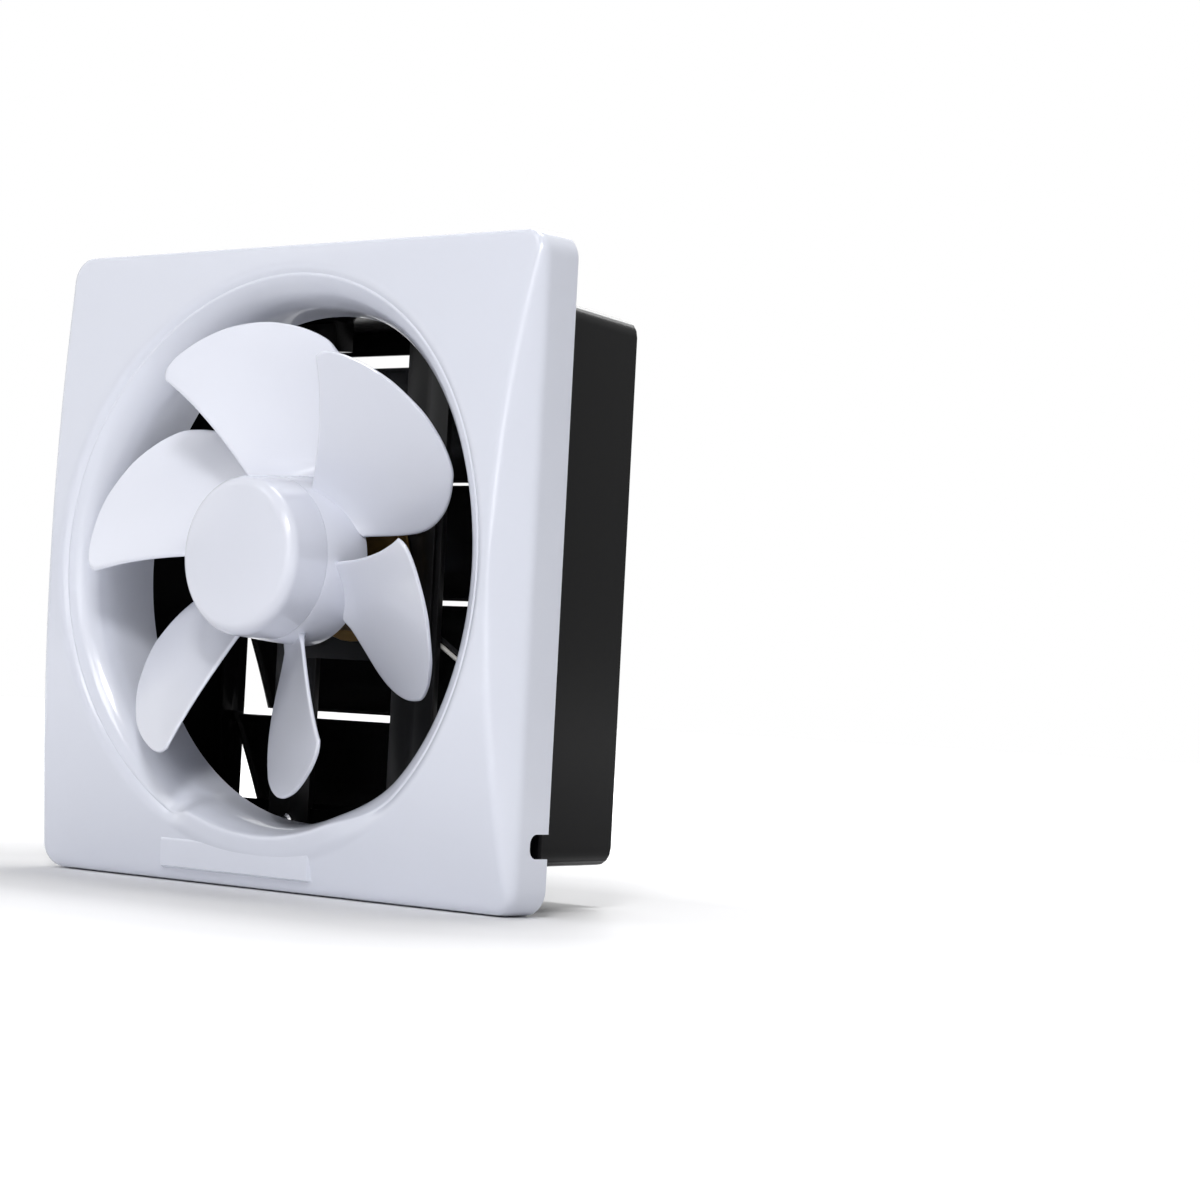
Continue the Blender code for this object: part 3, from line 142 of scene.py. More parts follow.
copper = add_grain(new_material("wound_copper", (0.5, 0.22, 0.1), 0.4, 0.9),
                   300, 0.0001, 0.35, 0.45, 0.2, (1, 8, 1))
ferrite = add_grain(new_material("dark_ferrite", (0.06, 0.06, 0.065), 0.7), 500, 0.00005, 0.6, 0.8, 0.1)
carbon = add_grain(new_material("dark_carbon", (0.03, 0.03, 0.03), 0.6), 500, 0.00005, 0.5, 0.7, 0.1)
lead_white = add_grain(new_material("white_lead", (0.75, 0.73, 0.68), 0.45), 500, 0.00002, 0.4, 0.5, 0.03)

FINISH = {"white_gloss": white_panel, "white_blade": white_blade, "black_gloss": black_plastic,
          "black_satin": black_satin, "black_steel": black_steel, "bronze": bronze, "zinc": zinc,
          "steel": steel, "brass": brass, "copper": copper, "ferrite": ferrite, "carbon": carbon,
          "lead_white": lead_white}
SLOT_OF = {}
for part in frame["record"]["subparts"]:
    node = frame["nodes"][part["node"]]
    SLOT_OF[part["node"]] = part["material_slot"]
    for entry in node.material_slots:
        entry.material = FINISH[part["material_slot"]]


# Helpers

def smooth(mesh, angle):
    """Smooth shading up to an angle in degrees, sharp edges past it."""
    mesh.shade_smooth()
    mesh.set_sharp_from_angle(angle=math.radians(angle))
    return mesh


def show(name, mesh, body, node, lift=True):
    """A piece that stands for a node of the model: it rides on the node's body and takes its finish."""
    item = bpy.data.objects.new(name, mesh)
    bpy.context.scene.collection.objects.link(item)
    if lift:
        item.location = (0, WALL_Y, 0)
    mesh.materials.clear()
    mesh.materials.append(FINISH[SLOT_OF[node]])
    bpy.context.view_layer.update()
    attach(item, body)
    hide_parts(node)
    return item


def skin(bm, rows, closed=True):
    """Faces between rows of points, each row closed in a ring or open."""
    rings = [[bm.verts.new(point) for point in row] for row in rows]
    for ring, following in zip(rings, rings[1:]):
        count = len(ring)
        for column in range(count if closed else count - 1):
            after = (column + 1) % count
            loop = (ring[column], ring[after], following[after], following[column])
            bm.faces.new(loop)


def ease(share):
    """A soft step from 0 to 1."""
    share = max(0.0, min(1.0, share))
    return share * share * (3 - 2 * share)


def curve_through(points, steps):
    """Samples of a smooth curve through points given as tuples."""
    ends = [tuple(2 * a - b for a, b in zip(points[0], points[1]))] + list(points)
    ends.append(tuple(2 * a - b for a, b in zip(points[-1], points[-2])))
    result = []
    for index in range(1, len(ends) - 2):
        p0, p1, p2, p3 = ends[index - 1:index + 3]
        for step in range(steps):
            t = step / steps
            result.append(tuple(
                0.5 * (2 * b + (c - a) * t + (2 * a - 5 * b + 4 * c - d) * t * t
                       + (3 * b - a - 3 * c + d) * t ** 3)
                for a, b, c, d in zip(p0, p1, p2, p3)))
    result.append(tuple(points[-1]))
    return result


TURN_SHARE = 0.48


def rounded(before, corner, after, radius, steps):
    """Points of a soft turn at a corner, which takes less than half of the way to either neighbour."""
    back = before - corner
    ahead = after - corner
    start = corner + back.normalized() * min(radius, back.length * TURN_SHARE)
    goal = corner + ahead.normalized() * min(radius, ahead.length * TURN_SHARE)
    points = []
    for step in range(steps + 1):
        t = step / steps
        points.append(start * (1 - t) ** 2 + corner * 2 * t * (1 - t) + goal * t * t)
    return points


# Front panel

HALF_W = 0.165
SKIRT = 0.023
CROWN = 0.0147
CORNER = 0.013
PANEL_WALL = 0.0024
FUNNEL_WALL = 0.0014
THROAT = 0.127
THROAT_DROP = 0.0018
# How steeply the facets beside the mouth run from the crowned face down to the skirt
LEFT_SLOPE = 1.9
RIGHT_SLOPE = 1.22
# Rounding of the face's rim, which is softer along the lower edge
EDGE_INSET = 0.0012
RIM_DROP = 0.0018
RIM_TURN = 0.0032
LOWER_DROP = 0.0052
LOWER_TURN = 0.0036
# Where the face swells over the badge pad: (start, length) of either end along X, and the ring's mean radius
SWELL_LEFT = (-0.065, 0.016)
SWELL_RIGHT = (0.090, 0.045)
SWELL_RADIUS = 0.1408


def face_depth(z):
    """How far the crowned face stands before the wall plane at a height."""
    level = (z - MID_Z) / MID_Z
    return SKIRT + CROWN * (1 - level * level)


def outline(corner_steps, side_steps):
    """Points and inward normals round the panel, from the right-hand side over the top."""
    reach_x = HALF_W - CORNER
    reach_z = MID_Z - CORNER
    corners = ((1, 1), (-1, 1), (-1, -1), (1, -1))
    quarter = math.radians(90.0)
    columns = []
    for index, (sx, sz) in enumerate(corners):
        centre = Vector((sx * reach_x, MID_Z + sz * reach_z))
        for step in range(corner_steps + 1):
            angle = quarter * (index + step / corner_steps)
            outward = Vector((math.cos(angle), math.sin(angle)))
            columns.append((centre + outward * CORNER, -outward))
        start, inward = columns[-1]
        following = corners[(index + 1) % 4]
        goal = Vector((following[0] * reach_x, MID_Z + following[1] * reach_z)) - inward * CORNER
        for step in range(1, side_steps):
            columns.append((start.lerp(goal, step / side_steps), inward))
    return columns


def facet_shift(point, inward):
    """How far the face is set in beside a point of the outline, to leave room for the facets."""
    if abs(inward.x) <= 0.001:
        return Vector((0, 0))
    slope = LEFT_SLOPE if inward.x > 0 else RIGHT_SLOPE
    return Vector((math.copysign((face_depth(point.y) - SKIRT) / slope * abs(inward.x), inward.x), 0))


# The mouth's ring from the face inwards, as (radius, rise), and its form where the face swells over the pad
RING = (
    (0.1500, 0.0), (0.1492, -0.00001), (0.1485, -0.00004), (0.1479, -0.0001), (0.1473, -0.00022),
    (0.1467, -0.0004), (0.1461, -0.00064), (0.1455, -0.00094), (0.1450, -0.00124), (0.1445, -0.00157),
    (0.1441, -0.00186), (0.1437, -0.00216), (0.1434, -0.0024), (0.1432, -0.00252), (0.1430, -0.00252),
    (0.1427, -0.0024), (0.1424, -0.00238), (0.1421, -0.0025), (0.1417, -0.0027))
SWELL = (
    (0.1500, 0.0), (0.1488, 0.0), (0.1476, 0.0002), (0.1464, 0.0006), (0.1452, 0.0009), (0.1440, 0.0011),
    (0.1429, 0.0012), (0.1418, 0.0012), (0.1408, 0.0012), (0.1398, 0.0012), (0.1389, 0.0012),
    (0.1380, 0.0012), (0.1371, 0.00118), (0.1363, 0.0011), (0.1357, 0.0009), (0.1352, 0.0006),
    (0.1348, 0.0002), (0.1344, -0.0004), (0.1340, -0.0010))
# The funnel behind the ring, as (way in, way back beside the axis, way back above and below it)
FUNNEL = curve_through([(0.0, 0.0, 0.0), (0.30, 0.06, 0.125), (0.55, 0.15, 0.26), (0.75, 0.27, 0.43),
                        (0.90, 0.48, 0.63), (1.0, 1.0, 1.0)], 5)
# The face stands out most beside the axis: from this depth on, over this range, the first of the two ways counts
CROWN_START = 0.0255
CROWN_RANGE = 0.0120


def mouth_row(columns, plain, swollen, share=(0, 0), back=0.0):
    """A row round the mouth: its (radius, rise), plain and swollen, and its shares of the way to the throat."""
    row = []
    for point, _ in columns:
        away = (point - Vector((0, MOUTH_Z))).normalized()
        x = away.x * SWELL_RADIUS
        swell = 0
        if away.y < 0:
            swell = ease((x - SWELL_LEFT[0]) / SWELL_LEFT[1]) * ease((SWELL_RIGHT[0] - x) / SWELL_RIGHT[1])
        radius = plain[0] + (swollen[0] - plain[0]) * swell
        beyond = plain[1] + (swollen[1] - plain[1]) * swell
        z = MOUTH_Z + away.y * radius
        part = share[1] + (share[0] - share[1]) * ease((face_depth(z) - CROWN_START) / CROWN_RANGE)
        front = back - face_depth(z) - beyond
        row.append(Vector((away.x * radius, front + (THROAT_Y - front) * part, z - THROAT_DROP * part)))
    return row


def funnel_row(columns, level, thick=0.0, back=0.0):
    """A row of the funnel at a level of FUNNEL, or of its outer wall if it is thick."""
    pair = []
    for inner, beyond in (RING[-1], SWELL[-1]):
        pair.append((inner + (THROAT - inner) * level[0] + thick, beyond if thick == 0 else 0))
    return mouth_row(columns, pair[0], pair[1], level[1:], back)


def rim_points(point, inward):
    """Points from the face over its rounded rim and down the skirt to the rear edge."""
    shift = facet_shift(point, inward)
    top = point + inward * EDGE_INSET + shift
    room = (top - Vector((0, MOUTH_Z))).length - RING[0][0]
    under = max(0.0, inward.y) ** 2
    turn = max(0.0008, min(RIM_TURN + LOWER_TURN * under, room * 0.8))
    edge = Vector((top.x, -face_depth(top.y), top.y))
    crease = Vector((point.x, -SKIRT + RIM_DROP + LOWER_DROP * under, point.y))
    deep = point + inward * 0.03 + shift
    face = Vector((deep.x, -face_depth(deep.y), deep.y))
    rim = Vector((point.x, -0.0004, point.y))
    rear = Vector((point.x + inward.x * 0.0005, 0, point.y + inward.y * 0.0005))
    return rounded(face, edge, crease, turn, 5) + rounded(edge, crease, rim, 0.0030, 5) + [rim, rear]


def panel_mesh():
    """The panel's shell: from the throat out over ring, face and skirt, and back inside to the throat."""
    columns = outline(12, 60)
    rows = [funnel_row(columns, level) for level in reversed(FUNNEL[1:])]
    rows += [mouth_row(columns, plain, swollen) for plain, swollen in zip(reversed(RING), reversed(SWELL))]
    mouth = rows[-1]
    sides = [rim_points(point, inward) for point, inward in columns]
    for share in (0.12, 0.25, 0.4, 0.55, 0.7, 0.85):
        row = []
        for start, side in zip(mouth, sides):
            spot = start.lerp(side[0], share)
            row.append(Vector((spot.x, -face_depth(spot.z), spot.z)))
        rows.append(row)
    rows += [[side[index] for side in sides] for index in range(len(sides[0]))]
    skirt_row = []
    face_row = []
    for point, inward in columns:
        spot = point + inward * PANEL_WALL
        skirt_row.append(Vector((spot.x, 0, spot.y)))
        spot = point + inward * (PANEL_WALL + 0.001) + facet_shift(point, inward)
        face_row.append(Vector((spot.x, -face_depth(spot.y) + PANEL_WALL, spot.y)))
    rows += [skirt_row, face_row]
    rows.append(mouth_row(columns, (0.1480, 0), (0.1480, 0), (0, 0), PANEL_WALL))
    rows.append(mouth_row(columns, (0.1440, -0.0020), (0.1375, 0), (0, 0), PANEL_WALL))
    for level in FUNNEL[3::3]:
        rows.append(funnel_row(columns, level, FUNNEL_WALL, PANEL_WALL))
    rows.append(funnel_row(columns, (1, 1, 1), FUNNEL_WALL, PANEL_WALL))
    bm = bmesh.new()
    skin(bm, rows + [rows[0]])
    bmesh.ops.remove_doubles(bm, verts=bm.verts, dist=0.000001)
    bmesh.ops.recalc_face_normals(bm, faces=bm.faces)
    mesh = bpy.data.meshes.new("panel_shell")
    bm.to_mesh(mesh)
    bm.free()
    return mesh


def box_into(bm, low, high):
    """A box between two corners."""
    made = bmesh.ops.create_cube(bm, size=1.0)["verts"]
    low, high = Vector(low), Vector(high)
    for vert in made:
        vert.co = Vector(a + (b - a) * (c + 0.5) for a, b, c in zip(low, high, vert.co))


def post_into(bm, radius, start, goal):
    """A round post between two points."""
    along = Vector(goal) - Vector(start)
    made = bmesh.ops.create_cone(bm, cap_ends=True, segments=14, radius1=radius, radius2=radius,
                                 depth=along.length)
    middle = Matrix.Translation((Vector(goal) + Vector(start)) / 2)
    turn = middle @ along.to_track_quat("Z", "Y").to_matrix().to_4x4()
    bmesh.ops.transform(bm, matrix=turn, verts=made["verts"])


def cut_mesh(mesh, cutter):
    """A mesh with a cutter taken away."""
    scene = bpy.context.scene
    base = bpy.data.objects.new("cut_base", mesh)
    tool = bpy.data.objects.new("cut_tool", cutter)
    for item in (base, tool):
        scene.collection.objects.link(item)
    step = base.modifiers.new("cut", "BOOLEAN")
    step.operation = "DIFFERENCE"
    step.solver = "EXACT"
    step.object = tool
    bpy.context.view_layer.update()
    result = bpy.data.meshes.new_from_object(base.evaluated_get(bpy.context.evaluated_depsgraph_get()))
    for item in (base, tool):
        bpy.data.objects.remove(item, do_unlink=True)
    return result


# The cable notch in the right-hand side
NOTCH_LOW = 0.0273
NOTCH_HIGH = 0.0388
NOTCH_DEEP = 0.0130
NOTCH_IN = 0.0060
NOTCH_ROUND = 0.0045

notch = bmesh.new()
box_into(notch, (HALF_W - NOTCH_IN, -NOTCH_DEEP, NOTCH_LOW), (HALF_W + 0.002, 0.004, NOTCH_HIGH))
ends = [e for e in notch.edges if abs(e.verts[0].co.x - e.verts[1].co.x) > 0.001 and e.verts[0].co.y < -0.01]
bmesh.ops.bevel(notch, geom=ends, offset=NOTCH_ROUND, segments=8, profile=0.5, affect="EDGES")
bmesh.ops.recalc_face_normals(notch, faces=notch.faces)
notch_mesh = bpy.data.meshes.new("notch")
notch.to_mesh(notch_mesh)
notch.free()
shell = cut_mesh(panel_mesh(), notch_mesh)

panel = bmesh.new()
panel.from_mesh(shell)

# The badge pad: a plain upright field under the mouth, with soft edges. It stands out further towards its foot.
PAD_LEFT = -0.071
PAD_RIGHT = 0.035
PAD_LOW = 0.0070
PAD_HIGH = 0.0215
PAD_EDGE = 0.0012
PAD_SOFT = 0.0009
PAD_RISE = 0.0008
PAD_UPRIGHT = 0.75
PAD_SUNK = 0.0003
PAD_ROWS = 28
PAD_COLUMNS = 110

rows = []
for row_index in range(PAD_ROWS + 1):
    z = PAD_LOW - PAD_EDGE + (PAD_HIGH - PAD_LOW + 2 * PAD_EDGE) * row_index / PAD_ROWS
    up = ease(min(z - PAD_LOW, PAD_HIGH - z) / PAD_SOFT + 0.5)
    rise = PAD_RISE + PAD_UPRIGHT * (face_depth(PAD_HIGH) - face_depth(z))
    row = []
    for column in range(PAD_COLUMNS + 1):
        x = PAD_LEFT - PAD_EDGE + (PAD_RIGHT - PAD_LEFT + 2 * PAD_EDGE) * column / PAD_COLUMNS
        level = min(up, ease(min(x - PAD_LEFT, PAD_RIGHT - x) / PAD_SOFT + 0.5))
        row.append(Vector((x, PAD_SUNK - face_depth(z) - rise * level, z)))
    rows.append(row)
skin(panel, rows, closed=False)

# Snap teeth at the rear edge, and the ribs inside the skirt that the housing's flange rests on
TOOTH_X = 0.094
TOOTH_PITCH = 0.0052
TOOTH_RADIUS = 0.0019
TOOTH_FRONT = -0.0061
TOOTH_REAR = -0.0006
RIB_X = 0.060
RIB_Z = 0.085
RIB_HALF = 0.004
RIB_FRONT = -0.0206
RIB_REAR = -0.0038
RIB_REACH = 0.0045
RIB_ROOT = 0.001

for side_x in (-1, 1):
    for side_z in (-1, 1):
        wall_z = MID_Z + side_z * (MID_Z - PANEL_WALL)
        for index in (-1, 0, 1):
            x = side_x * TOOTH_X + index * TOOTH_PITCH
            post_into(panel, TOOTH_RADIUS, (x, TOOTH_FRONT, wall_z), (x, TOOTH_REAR, wall_z))
        inner = wall_z - side_z * RIB_REACH
        root = wall_z + side_z * RIB_ROOT
        box_into(panel, (side_x * RIB_X - RIB_HALF, RIB_FRONT, min(inner, root)),
                 (side_x * RIB_X + RIB_HALF, RIB_REAR, max(inner, root)))
        inner = side_x * (HALF_W - PANEL_WALL - RIB_REACH)
        root = side_x * (HALF_W - PANEL_WALL + RIB_ROOT)
        z = MID_Z + side_z * RIB_Z
        box_into(panel, (min(inner, root), RIB_FRONT, z - RIB_HALF), (max(inner, root), RIB_REAR, z + RIB_HALF))
panel_out = bpy.data.meshes.new("front_panel_skin")
panel.to_mesh(panel_out)
panel.free()
show("front_panel_skin", smooth(panel_out, 38), "frame", "front_panel")


# Impeller: six twisted blades on a hub, and the cap that covers its nose

BLADE_COUNT = 6
BLADE_HALF = 0.00095
BLADE_ROOT = 0.038
BLADE_REACH = 0.080
# Terms of polynomials from root to tip: the turn in degrees and the depth of the blade's two edges, and its bow
FRONT_TURN = (58.54, 5.13, 0.68, 2.78)
REAR_TURN = (18.51, -28.19, 27.31, 7.53)
FRONT_Y = (-0.02346, -0.02511, -0.00506, -0.00186)
REAR_Y = (-0.00705, 0.03003, -0.01262, -0.02179)
BOW = (-0.00179, 0.00489)
# The rear edge as (radius, across), and the rounded tip as (share from shoulder to tip, across from, across to)
TAIL_OUTLINE = ((0.038, 1.0), (0.060, 1.0), (0.075, 0.998), (0.086, 0.981), (0.098, 0.962), (0.106, 0.947))
SHOULDER = 0.106
TIP = 0.1185
TIP_OUTLINE = ((0.0, 0.0, 0.947), (0.175, 0.050, 0.940), (0.337, 0.145, 0.905), (0.494, 0.275, 0.857),
               (0.654, 0.400, 0.795), (0.80, 0.495, 0.735), (0.92, 0.575, 0.680), (1.0, 0.628, 0.632))
EDGE_SPOTS = (0, 0.004, 0.012, 0.026, 0.05)
EDGE_ROUND = 0.0011
TIP_ROUND = 0.0009
FLARE = 0.0012
FLARE_FADE = 0.0016
FLARE_END = 0.055
HUB_SINK = 0.0012
HUB_FRONT_Y = -0.0300
HUB_LENGTH = 0.0255
HUB_FRONT_RADIUS = 0.0407
HUB_REAR_RADIUS = 0.0425


def powers(terms, share):
    """The value of a polynomial."""
    return sum(term * share ** order for order, term in enumerate(terms))


def hub_radius(y):
    return HUB_FRONT_RADIUS + (HUB_REAR_RADIUS - HUB_FRONT_RADIUS) * (y - HUB_FRONT_Y) / HUB_LENGTH


def blade_spot(radius, across):
    """The angle and the depth of a point on the blade's middle surface."""
    out = (radius - BLADE_ROOT) / BLADE_REACH
    front_turn = powers(FRONT_TURN, out)
    angle = math.radians(front_turn + (powers(REAR_TURN, out) - front_turn) * across)
    front = powers(FRONT_Y, out)
    y = front + (powers(REAR_Y, out) - front) * across - powers(BOW, out) * 4 * across * (1 - across)
    return angle, y


def round_off(depth, radius):
    """The share of a full thickness at a depth from an edge that is rounded."""
    return math.sqrt(max(0.0, 1 - (1 - min(depth / radius, 1)) ** 2))


def blade_rows():
    """Rows of (point, half thickness) over one blade."""
    tail = curve_through(TAIL_OUTLINE, 5)
    levels = [(radius, 0.0, min(trail, 1.0)) for radius, trail in tail[:-1]]
    for share, lead, trail in curve_through(TIP_OUTLINE, 3):
        radius = SHOULDER + (TIP - SHOULDER) * (1 - (1 - min(share, 1.0)) ** 2)
        levels.append((radius, max(lead, 0.0), trail))
    spots = list(EDGE_SPOTS) + [0.10 + 0.8 * step / 15 for step in range(16)]
    spots += [1 - value for value in reversed(EDGE_SPOTS)]
    rows = []
    for row_index, (radius, lead, trail) in enumerate(levels):
        row = []
        for spot in spots:
            angle, y = blade_spot(radius, lead + (trail - lead) * spot)
            hub = hub_radius(y)
            span = radius
            if row_index == 0:
                span = hub - HUB_SINK
            elif row_index < 5:
                span = max(radius, hub - HUB_SINK + row_index * 0.0011)
            width = (trail - lead) * 0.72 * span
            thin = round_off(min(spot, 1 - spot) * width, EDGE_ROUND)
            thin *= round_off(TIP + 0.00005 - span, TIP_ROUND)
            flare = FLARE * math.exp(-max(0.0, span - hub) / FLARE_FADE) if radius < FLARE_END else 0
            half = (BLADE_HALF + flare) * max(thin, 0.06)
            row.append((Vector((span * math.cos(angle), y, span * math.sin(angle))), half))
        rows.append(row)
    return rows


def blade_faces(bm, rows, index):
    """One blade from its rows: two sides and the strip round their border."""
    turn = Matrix.Rotation(-math.tau * index / BLADE_COUNT, 3, "Y")
    count_r, count_c = len(rows), len(rows[0])
    sides = []
    for sign in (-1, 1):
        side = []
        for r in range(count_r):
            line = []
            for c in range(count_c):
                spot, half = rows[r][c]
                along = rows[r][min(c + 1, count_c - 1)][0] - rows[r][max(c - 1, 0)][0]
                up = rows[min(r + 1, count_r - 1)][c][0] - rows[max(r - 1, 0)][c][0]
                normal = up.cross(along).normalized()
                if normal.length < 0.5:
                    normal = Vector((0, -1, 0))
                point = turn @ (spot + normal * half * sign)
                line.append(bm.verts.new((point.x, point.y, point.z + AXIS_Z)))
            side.append(line)
        sides.append(side)
    low, high = sides
    for side, flip in ((low, True), (high, False)):
        for r in range(count_r - 1):
            for c in range(count_c - 1):
                loop = (side[r][c], side[r][c + 1], side[r + 1][c + 1], side[r + 1][c])
                bm.faces.new(tuple(reversed(loop)) if flip else loop)
    border = [(r, 0) for r in range(count_r)] + [(count_r - 1, c) for c in range(1, count_c)]
    border += [(r, count_c - 1) for r in range(count_r - 2, -1, -1)]
    border += [(0, c) for c in range(count_c - 2, 0, -1)]
    for (r0, c0), (r1, c1) in zip(border, border[1:] + border[:1]):
        bm.faces.new((low[r0][c0], low[r1][c1], high[r1][c1], high[r0][c0]))


TURNED_STEPS = 120


def turned(bm, profile):
    """A closed surface turned about the rotor's axis from a line of (radius, y)."""
    rows = []
    for step in range(TURNED_STEPS):
        angle = math.tau * step / TURNED_STEPS
        across, up = math.cos(angle), math.sin(angle)
        rows.append([Vector((radius * across, y, AXIS_Z + radius * up)) for radius, y in profile])
    skin(bm, rows + [rows[0]])


def finished(bm, name, angle):
    """A clean, smooth mesh from the faces gathered so far."""
    bmesh.ops.remove_doubles(bm, verts=bm.verts, dist=0.0000015)
    bmesh.ops.dissolve_degenerate(bm, edges=bm.edges, dist=0.0000015)
    bmesh.ops.recalc_face_normals(bm, faces=bm.faces)
    mesh = bpy.data.meshes.new(name)
    bm.to_mesh(mesh)
    bm.free()
    return smooth(mesh, angle)


wheel = bmesh.new()
spread = blade_rows()
for blade_index in range(BLADE_COUNT):
    blade_faces(wheel, spread, blade_index)
turned(wheel, [
    (0.0405, -0.0300), (0.04062, -0.0297), (0.0424, -0.0051), (0.0422, -0.0045), (0.0405, -0.0045),
    (0.0386, -0.0278), (0.0347, -0.0278), (0.0347, -0.0418), (0.0085, -0.0418), (0.0085, -0.0350),
    (0.0033, -0.0350), (0.0033, -0.0440), (0.0369, -0.0440), (0.0369, -0.0300)])
show("impeller_skin", finished(wheel, "impeller_skin", 38), "rotor", "impeller")

# The cap: a shallow dome, a round shoulder and a side that flares to the hub, then its inside and its boss
CAP_ROUND = 0.0065
CAP_TURN_RADIUS = 0.0327
CAP_TURN_Y = -0.0470

nose = bmesh.new()
dome = [(0.0, -0.0551), (0.012, -0.05502), (0.022, -0.05470), (0.0285, -0.05420)]
for step in range(13):
    angle = math.radians(90.0 * step / 12)
    dome.append((CAP_TURN_RADIUS + CAP_ROUND * math.sin(angle), CAP_TURN_Y - CAP_ROUND * math.cos(angle)))
dome += [
    (0.0396, -0.0420), (0.04042, -0.0307), (0.0404, -0.03015), (0.0372, -0.03015), (0.0372, -0.0470),
    (0.0327, -0.0515), (0.0075, -0.0515), (0.0075, -0.0443), (0.0033, -0.0443), (0.0033, -0.0503),
    (0.0, -0.0503)]
turned(nose, dome)
show("spinner_cap_skin", finished(nose, "spinner_cap_skin", 50), "rotor", "spinner_cap")


# The other rigid pieces keep their solids and get rounded, lit edges

def soften(name, body, width):
    """A copy of a node with its sharp edges rounded."""
    bm = bmesh.new()
    bm.from_mesh(frame["nodes"][name].data)
    bmesh.ops.remove_doubles(bm, verts=bm.verts, dist=0.000002)
    bmesh.ops.dissolve_limit(bm, angle_limit=math.radians(0.8), verts=bm.verts, edges=bm.edges)
    sharp = [e for e in bm.edges if len(e.link_faces) == 2 and e.calc_face_angle(0) > math.radians(32.0)]
    bmesh.ops.bevel(bm, geom=sharp, offset=width, segments=2, profile=0.5, affect="EDGES", clamp_overlap=True)
    mesh = bpy.data.meshes.new(name + "_skin")
    bm.to_mesh(mesh)
    bm.free()
    return show(name + "_skin", smooth(mesh, 50), body, name, lift=False)


soften("housing", "frame", 0.0007)
for index in range(1, 5):
    louver = soften("louver_%d" % index, "louver_%d" % index, 0.0003)
    louver.data.materials[0] = louver_plastic
soften("link_bar", "link", 0.0003)
for name in ("bracket_strap_left", "bracket_strap_right", "motor_plate"):
    soften(name, "frame", 0.0002)
soften("terminal_block", "frame", 0.0004)
soften("motor_can", "frame", 0.0005)


# Camera, light and ground. The camera is the one that took the photograph's front view.

CAMERA_PLACE = Vector((1.1637, -1.1520 + WALL_Y, 0.1071))
CAMERA_RIGHT = Vector((0.7631, 0.6441, 0.0520))
CAMERA_UP = Vector((-0.0220, -0.0545, 0.9983))
CAMERA_LENS_PIXELS = 3276.8
FRAME_PIXELS = 1200
SENSOR = 36.0

lens = bpy.data.cameras.new("camera")
lens.sensor_width = SENSOR
lens.lens = SENSOR * CAMERA_LENS_PIXELS / FRAME_PIXELS
lens.clip_start = 0.01
lens.clip_end = 50
camera = bpy.data.objects.new("camera", lens)
right = CAMERA_RIGHT.normalized()
back = right.cross(CAMERA_UP).normalized()
up = back.cross(right)
turn = Matrix((right, up, back)).transposed().to_4x4()
camera.matrix_world = Matrix.Translation(CAMERA_PLACE) @ turn
bpy.context.scene.collection.objects.link(camera)
bpy.context.scene.camera = camera


def area_light(name, place, width, height, power):
    """A white rectangle of light that looks at the fan's middle."""
    data = bpy.data.lights.new(name, "AREA")
    data.shape = "RECTANGLE"
    data.size = width
    data.size_y = height
    data.energy = power
    item = bpy.data.objects.new(name, data)
    item.location = place
    item.rotation_euler = (Vector((0, 0, 0.15)) - Vector(place)).to_track_quat("-Z", "Y").to_euler()
    bpy.context.scene.collection.objects.link(item)


area_light("key", (1.1, -1.4, 1.5), 0.4, 0.4, 17)
area_light("front", (0.55, -1.85, 1.2), 0.6, 0.6, 5.5)
area_light("fill", (0.9, -2.0, 0.9), 1.2, 1.2, 5.0)
area_light("low", (0.7, -2.2, 0.3), 1.0, 0.6, 3.0)
area_light("left", (-0.7, -1.5, 1.6), 0.6, 0.6, 2.7)
area_light("far_left", (-1.9, -0.9, 0.9), 1.2, 1.2, 2.7)
area_light("right", (1.9, -0.2, 1.3), 1.0, 1.0, 2.5)
area_light("over", (0.0, 0.45, 2.0), 0.7, 0.7, 20)
area_light("rear", (-0.9, 1.9, 1.1), 1.1, 1.1, 16)


def sight(tree):
    """A share of one for rays that come from the camera or from a mirror or a glass."""
    ray = tree.nodes.new("ShaderNodeLightPath")
    first = tree.nodes.new("ShaderNodeMath")
    first.operation = "ADD"
    tree.links.new(ray.outputs["Is Camera Ray"], first.inputs[0])
    tree.links.new(ray.outputs["Is Glossy Ray"], first.inputs[1])
    second = tree.nodes.new("ShaderNodeMath")
    second.operation = "ADD"
    second.use_clamp = True
    tree.links.new(first.outputs["Value"], second.inputs[0])
    tree.links.new(ray.outputs["Is Transmission Ray"], second.inputs[1])
    return second.outputs["Value"]


world = bpy.data.worlds.new("studio")
bpy.context.scene.world = world
world.use_nodes = True
tree = world.node_tree
ground = tree.nodes["Background"]
ground.inputs["Color"].default_value = (0.90, 0.93, 1.0, 1.0)
ground.inputs["Strength"].default_value = 0.06
white = tree.nodes.new("ShaderNodeBackground")
white.inputs["Color"].default_value = (1, 1, 1, 1)
white.inputs["Strength"].default_value = 1.0
# The world lights the fan softly and shows as white to the camera and in mirrors.
mixer = tree.nodes.new("ShaderNodeMixShader")
tree.links.new(sight(tree), mixer.inputs["Fac"])
tree.links.new(ground.outputs["Background"], mixer.inputs[1])
tree.links.new(white.outputs["Background"], mixer.inputs[2])
tree.links.new(mixer.outputs["Shader"], tree.nodes["World Output"].inputs["Surface"])

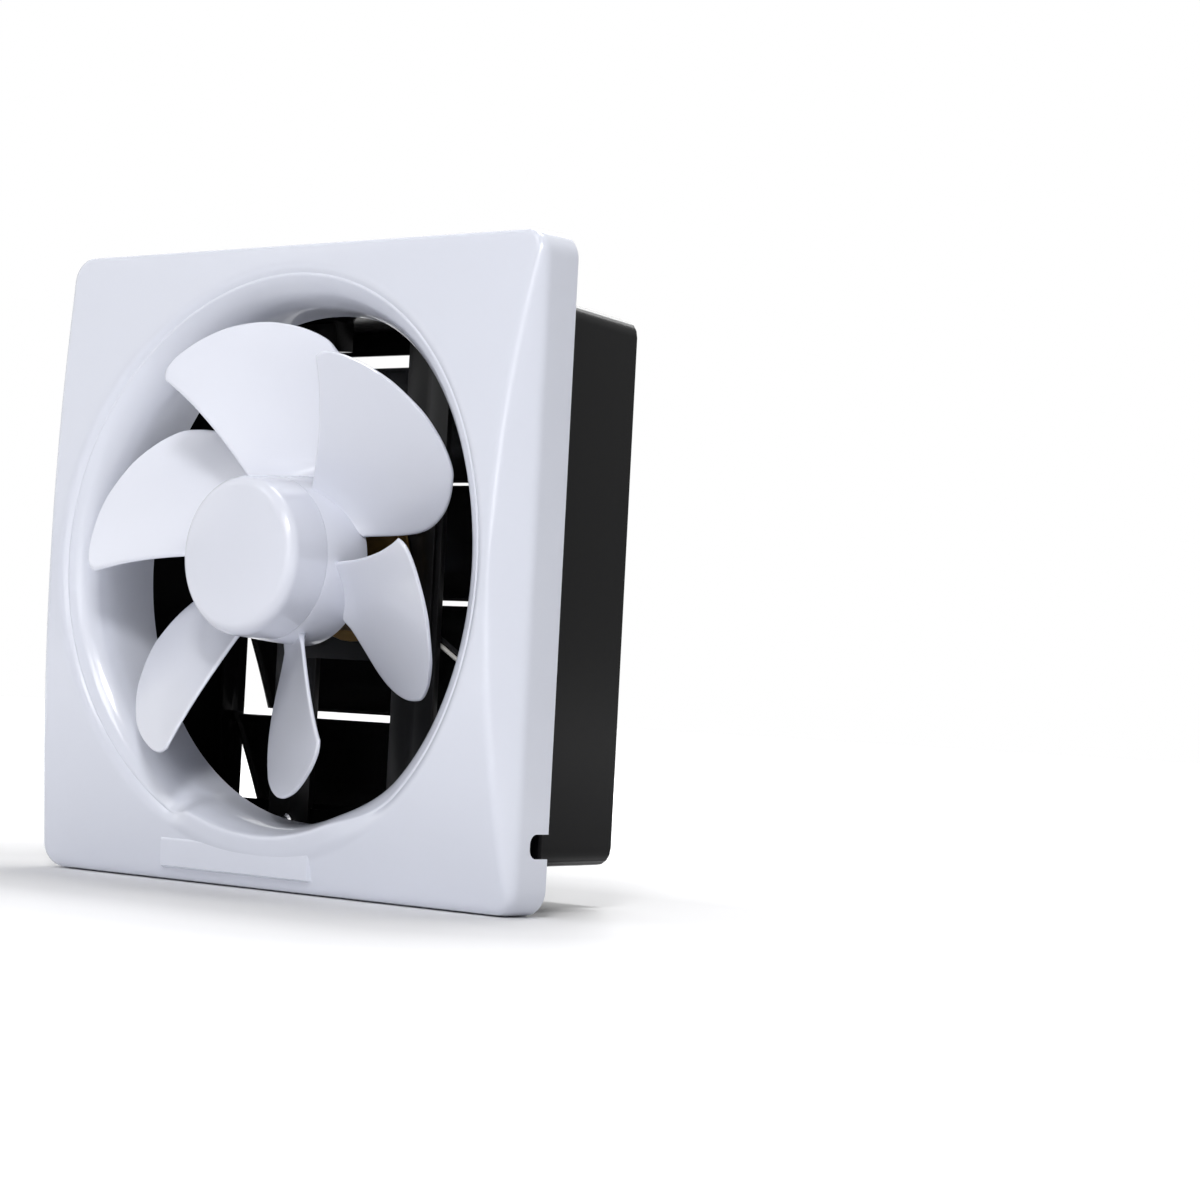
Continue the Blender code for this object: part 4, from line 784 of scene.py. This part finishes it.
def vector_step(tree, operation, source, amount=None):
    step = tree.nodes.new("ShaderNodeVectorMath")
    step.operation = operation
    if amount is not None:
        step.inputs[1].default_value = amount
    tree.links.new(source, step.inputs[0])
    return step


# The floor is a pale card. It glows for the camera and in mirrors, the more the farther it is from the fan's box,
# so that it keeps the shadow and fades into the white.
# The glow is painted light. Because it is weaker near the box, it paints a darker shade round the fan's foot on top
# of the lamps' real shadow.
# Painted shade round the fan's foot: no glow close to the box, then rising glow by these steps farther out
FAN_HALF_BOX = (0.165, 0.075, 0.0)
PAINTED_SHADE_REACH = 0.08
PAINTED_GLOW_STEPS = ((0.22, 0.22), (0.42, 0.36))

floor_material = bpy.data.materials.new("floor_card")
floor_material.use_nodes = True
tree = floor_material.node_tree
card = tree.nodes["Principled BSDF"]
card.inputs["Base Color"].default_value = (0.82, 0.82, 0.83, 1.0)
card.inputs["Roughness"].default_value = 0.6
card.inputs["Specular IOR Level"].default_value = 0.2
card.inputs["Emission Color"].default_value = (1.0, 1.0, 1.0, 1.0)
spot = tree.nodes.new("ShaderNodeTexCoord")
past = vector_step(tree, "ABSOLUTE", spot.outputs["Object"])
beyond = vector_step(tree, "SUBTRACT", past.outputs["Vector"], FAN_HALF_BOX)
positive = vector_step(tree, "MAXIMUM", beyond.outputs["Vector"], (0.0, 0.0, 0.0))
length = vector_step(tree, "LENGTH", positive.outputs["Vector"])
# Ramp of the painted light: dark near the fan as painted shade, brighter farther out
fade = tree.nodes.new("ShaderNodeValToRGB")
for place, level in PAINTED_GLOW_STEPS:
    fade.color_ramp.elements.new(place).color = (level, level, level, 1.0)
fade.color_ramp.elements[0].position = PAINTED_SHADE_REACH
fade.color_ramp.elements[0].color = (0.0, 0.0, 0.0, 1.0)
tree.links.new(length.outputs["Value"], fade.inputs["Fac"])
glow = tree.nodes.new("ShaderNodeMath")
glow.operation = "MULTIPLY"
tree.links.new(sight(tree), glow.inputs[0])
tree.links.new(fade.outputs["Color"], glow.inputs[1])
tree.links.new(glow.outputs["Value"], card.inputs["Emission Strength"])

sheet = bpy.data.meshes.new("floor")
span = 6.0
sheet.from_pydata([(-span, -span, 0), (span, -span, 0), (span, span, 0), (-span, span, 0)], [], [(0, 1, 2, 3)])
sheet.materials.append(floor_material)
floor = bpy.data.objects.new("floor", sheet)
floor.location = (0, 0, -0.0002)
bpy.context.scene.collection.objects.link(floor)
bpy.context.view_layer.update()

bpy.context.scene.view_settings.view_transform = "Standard"
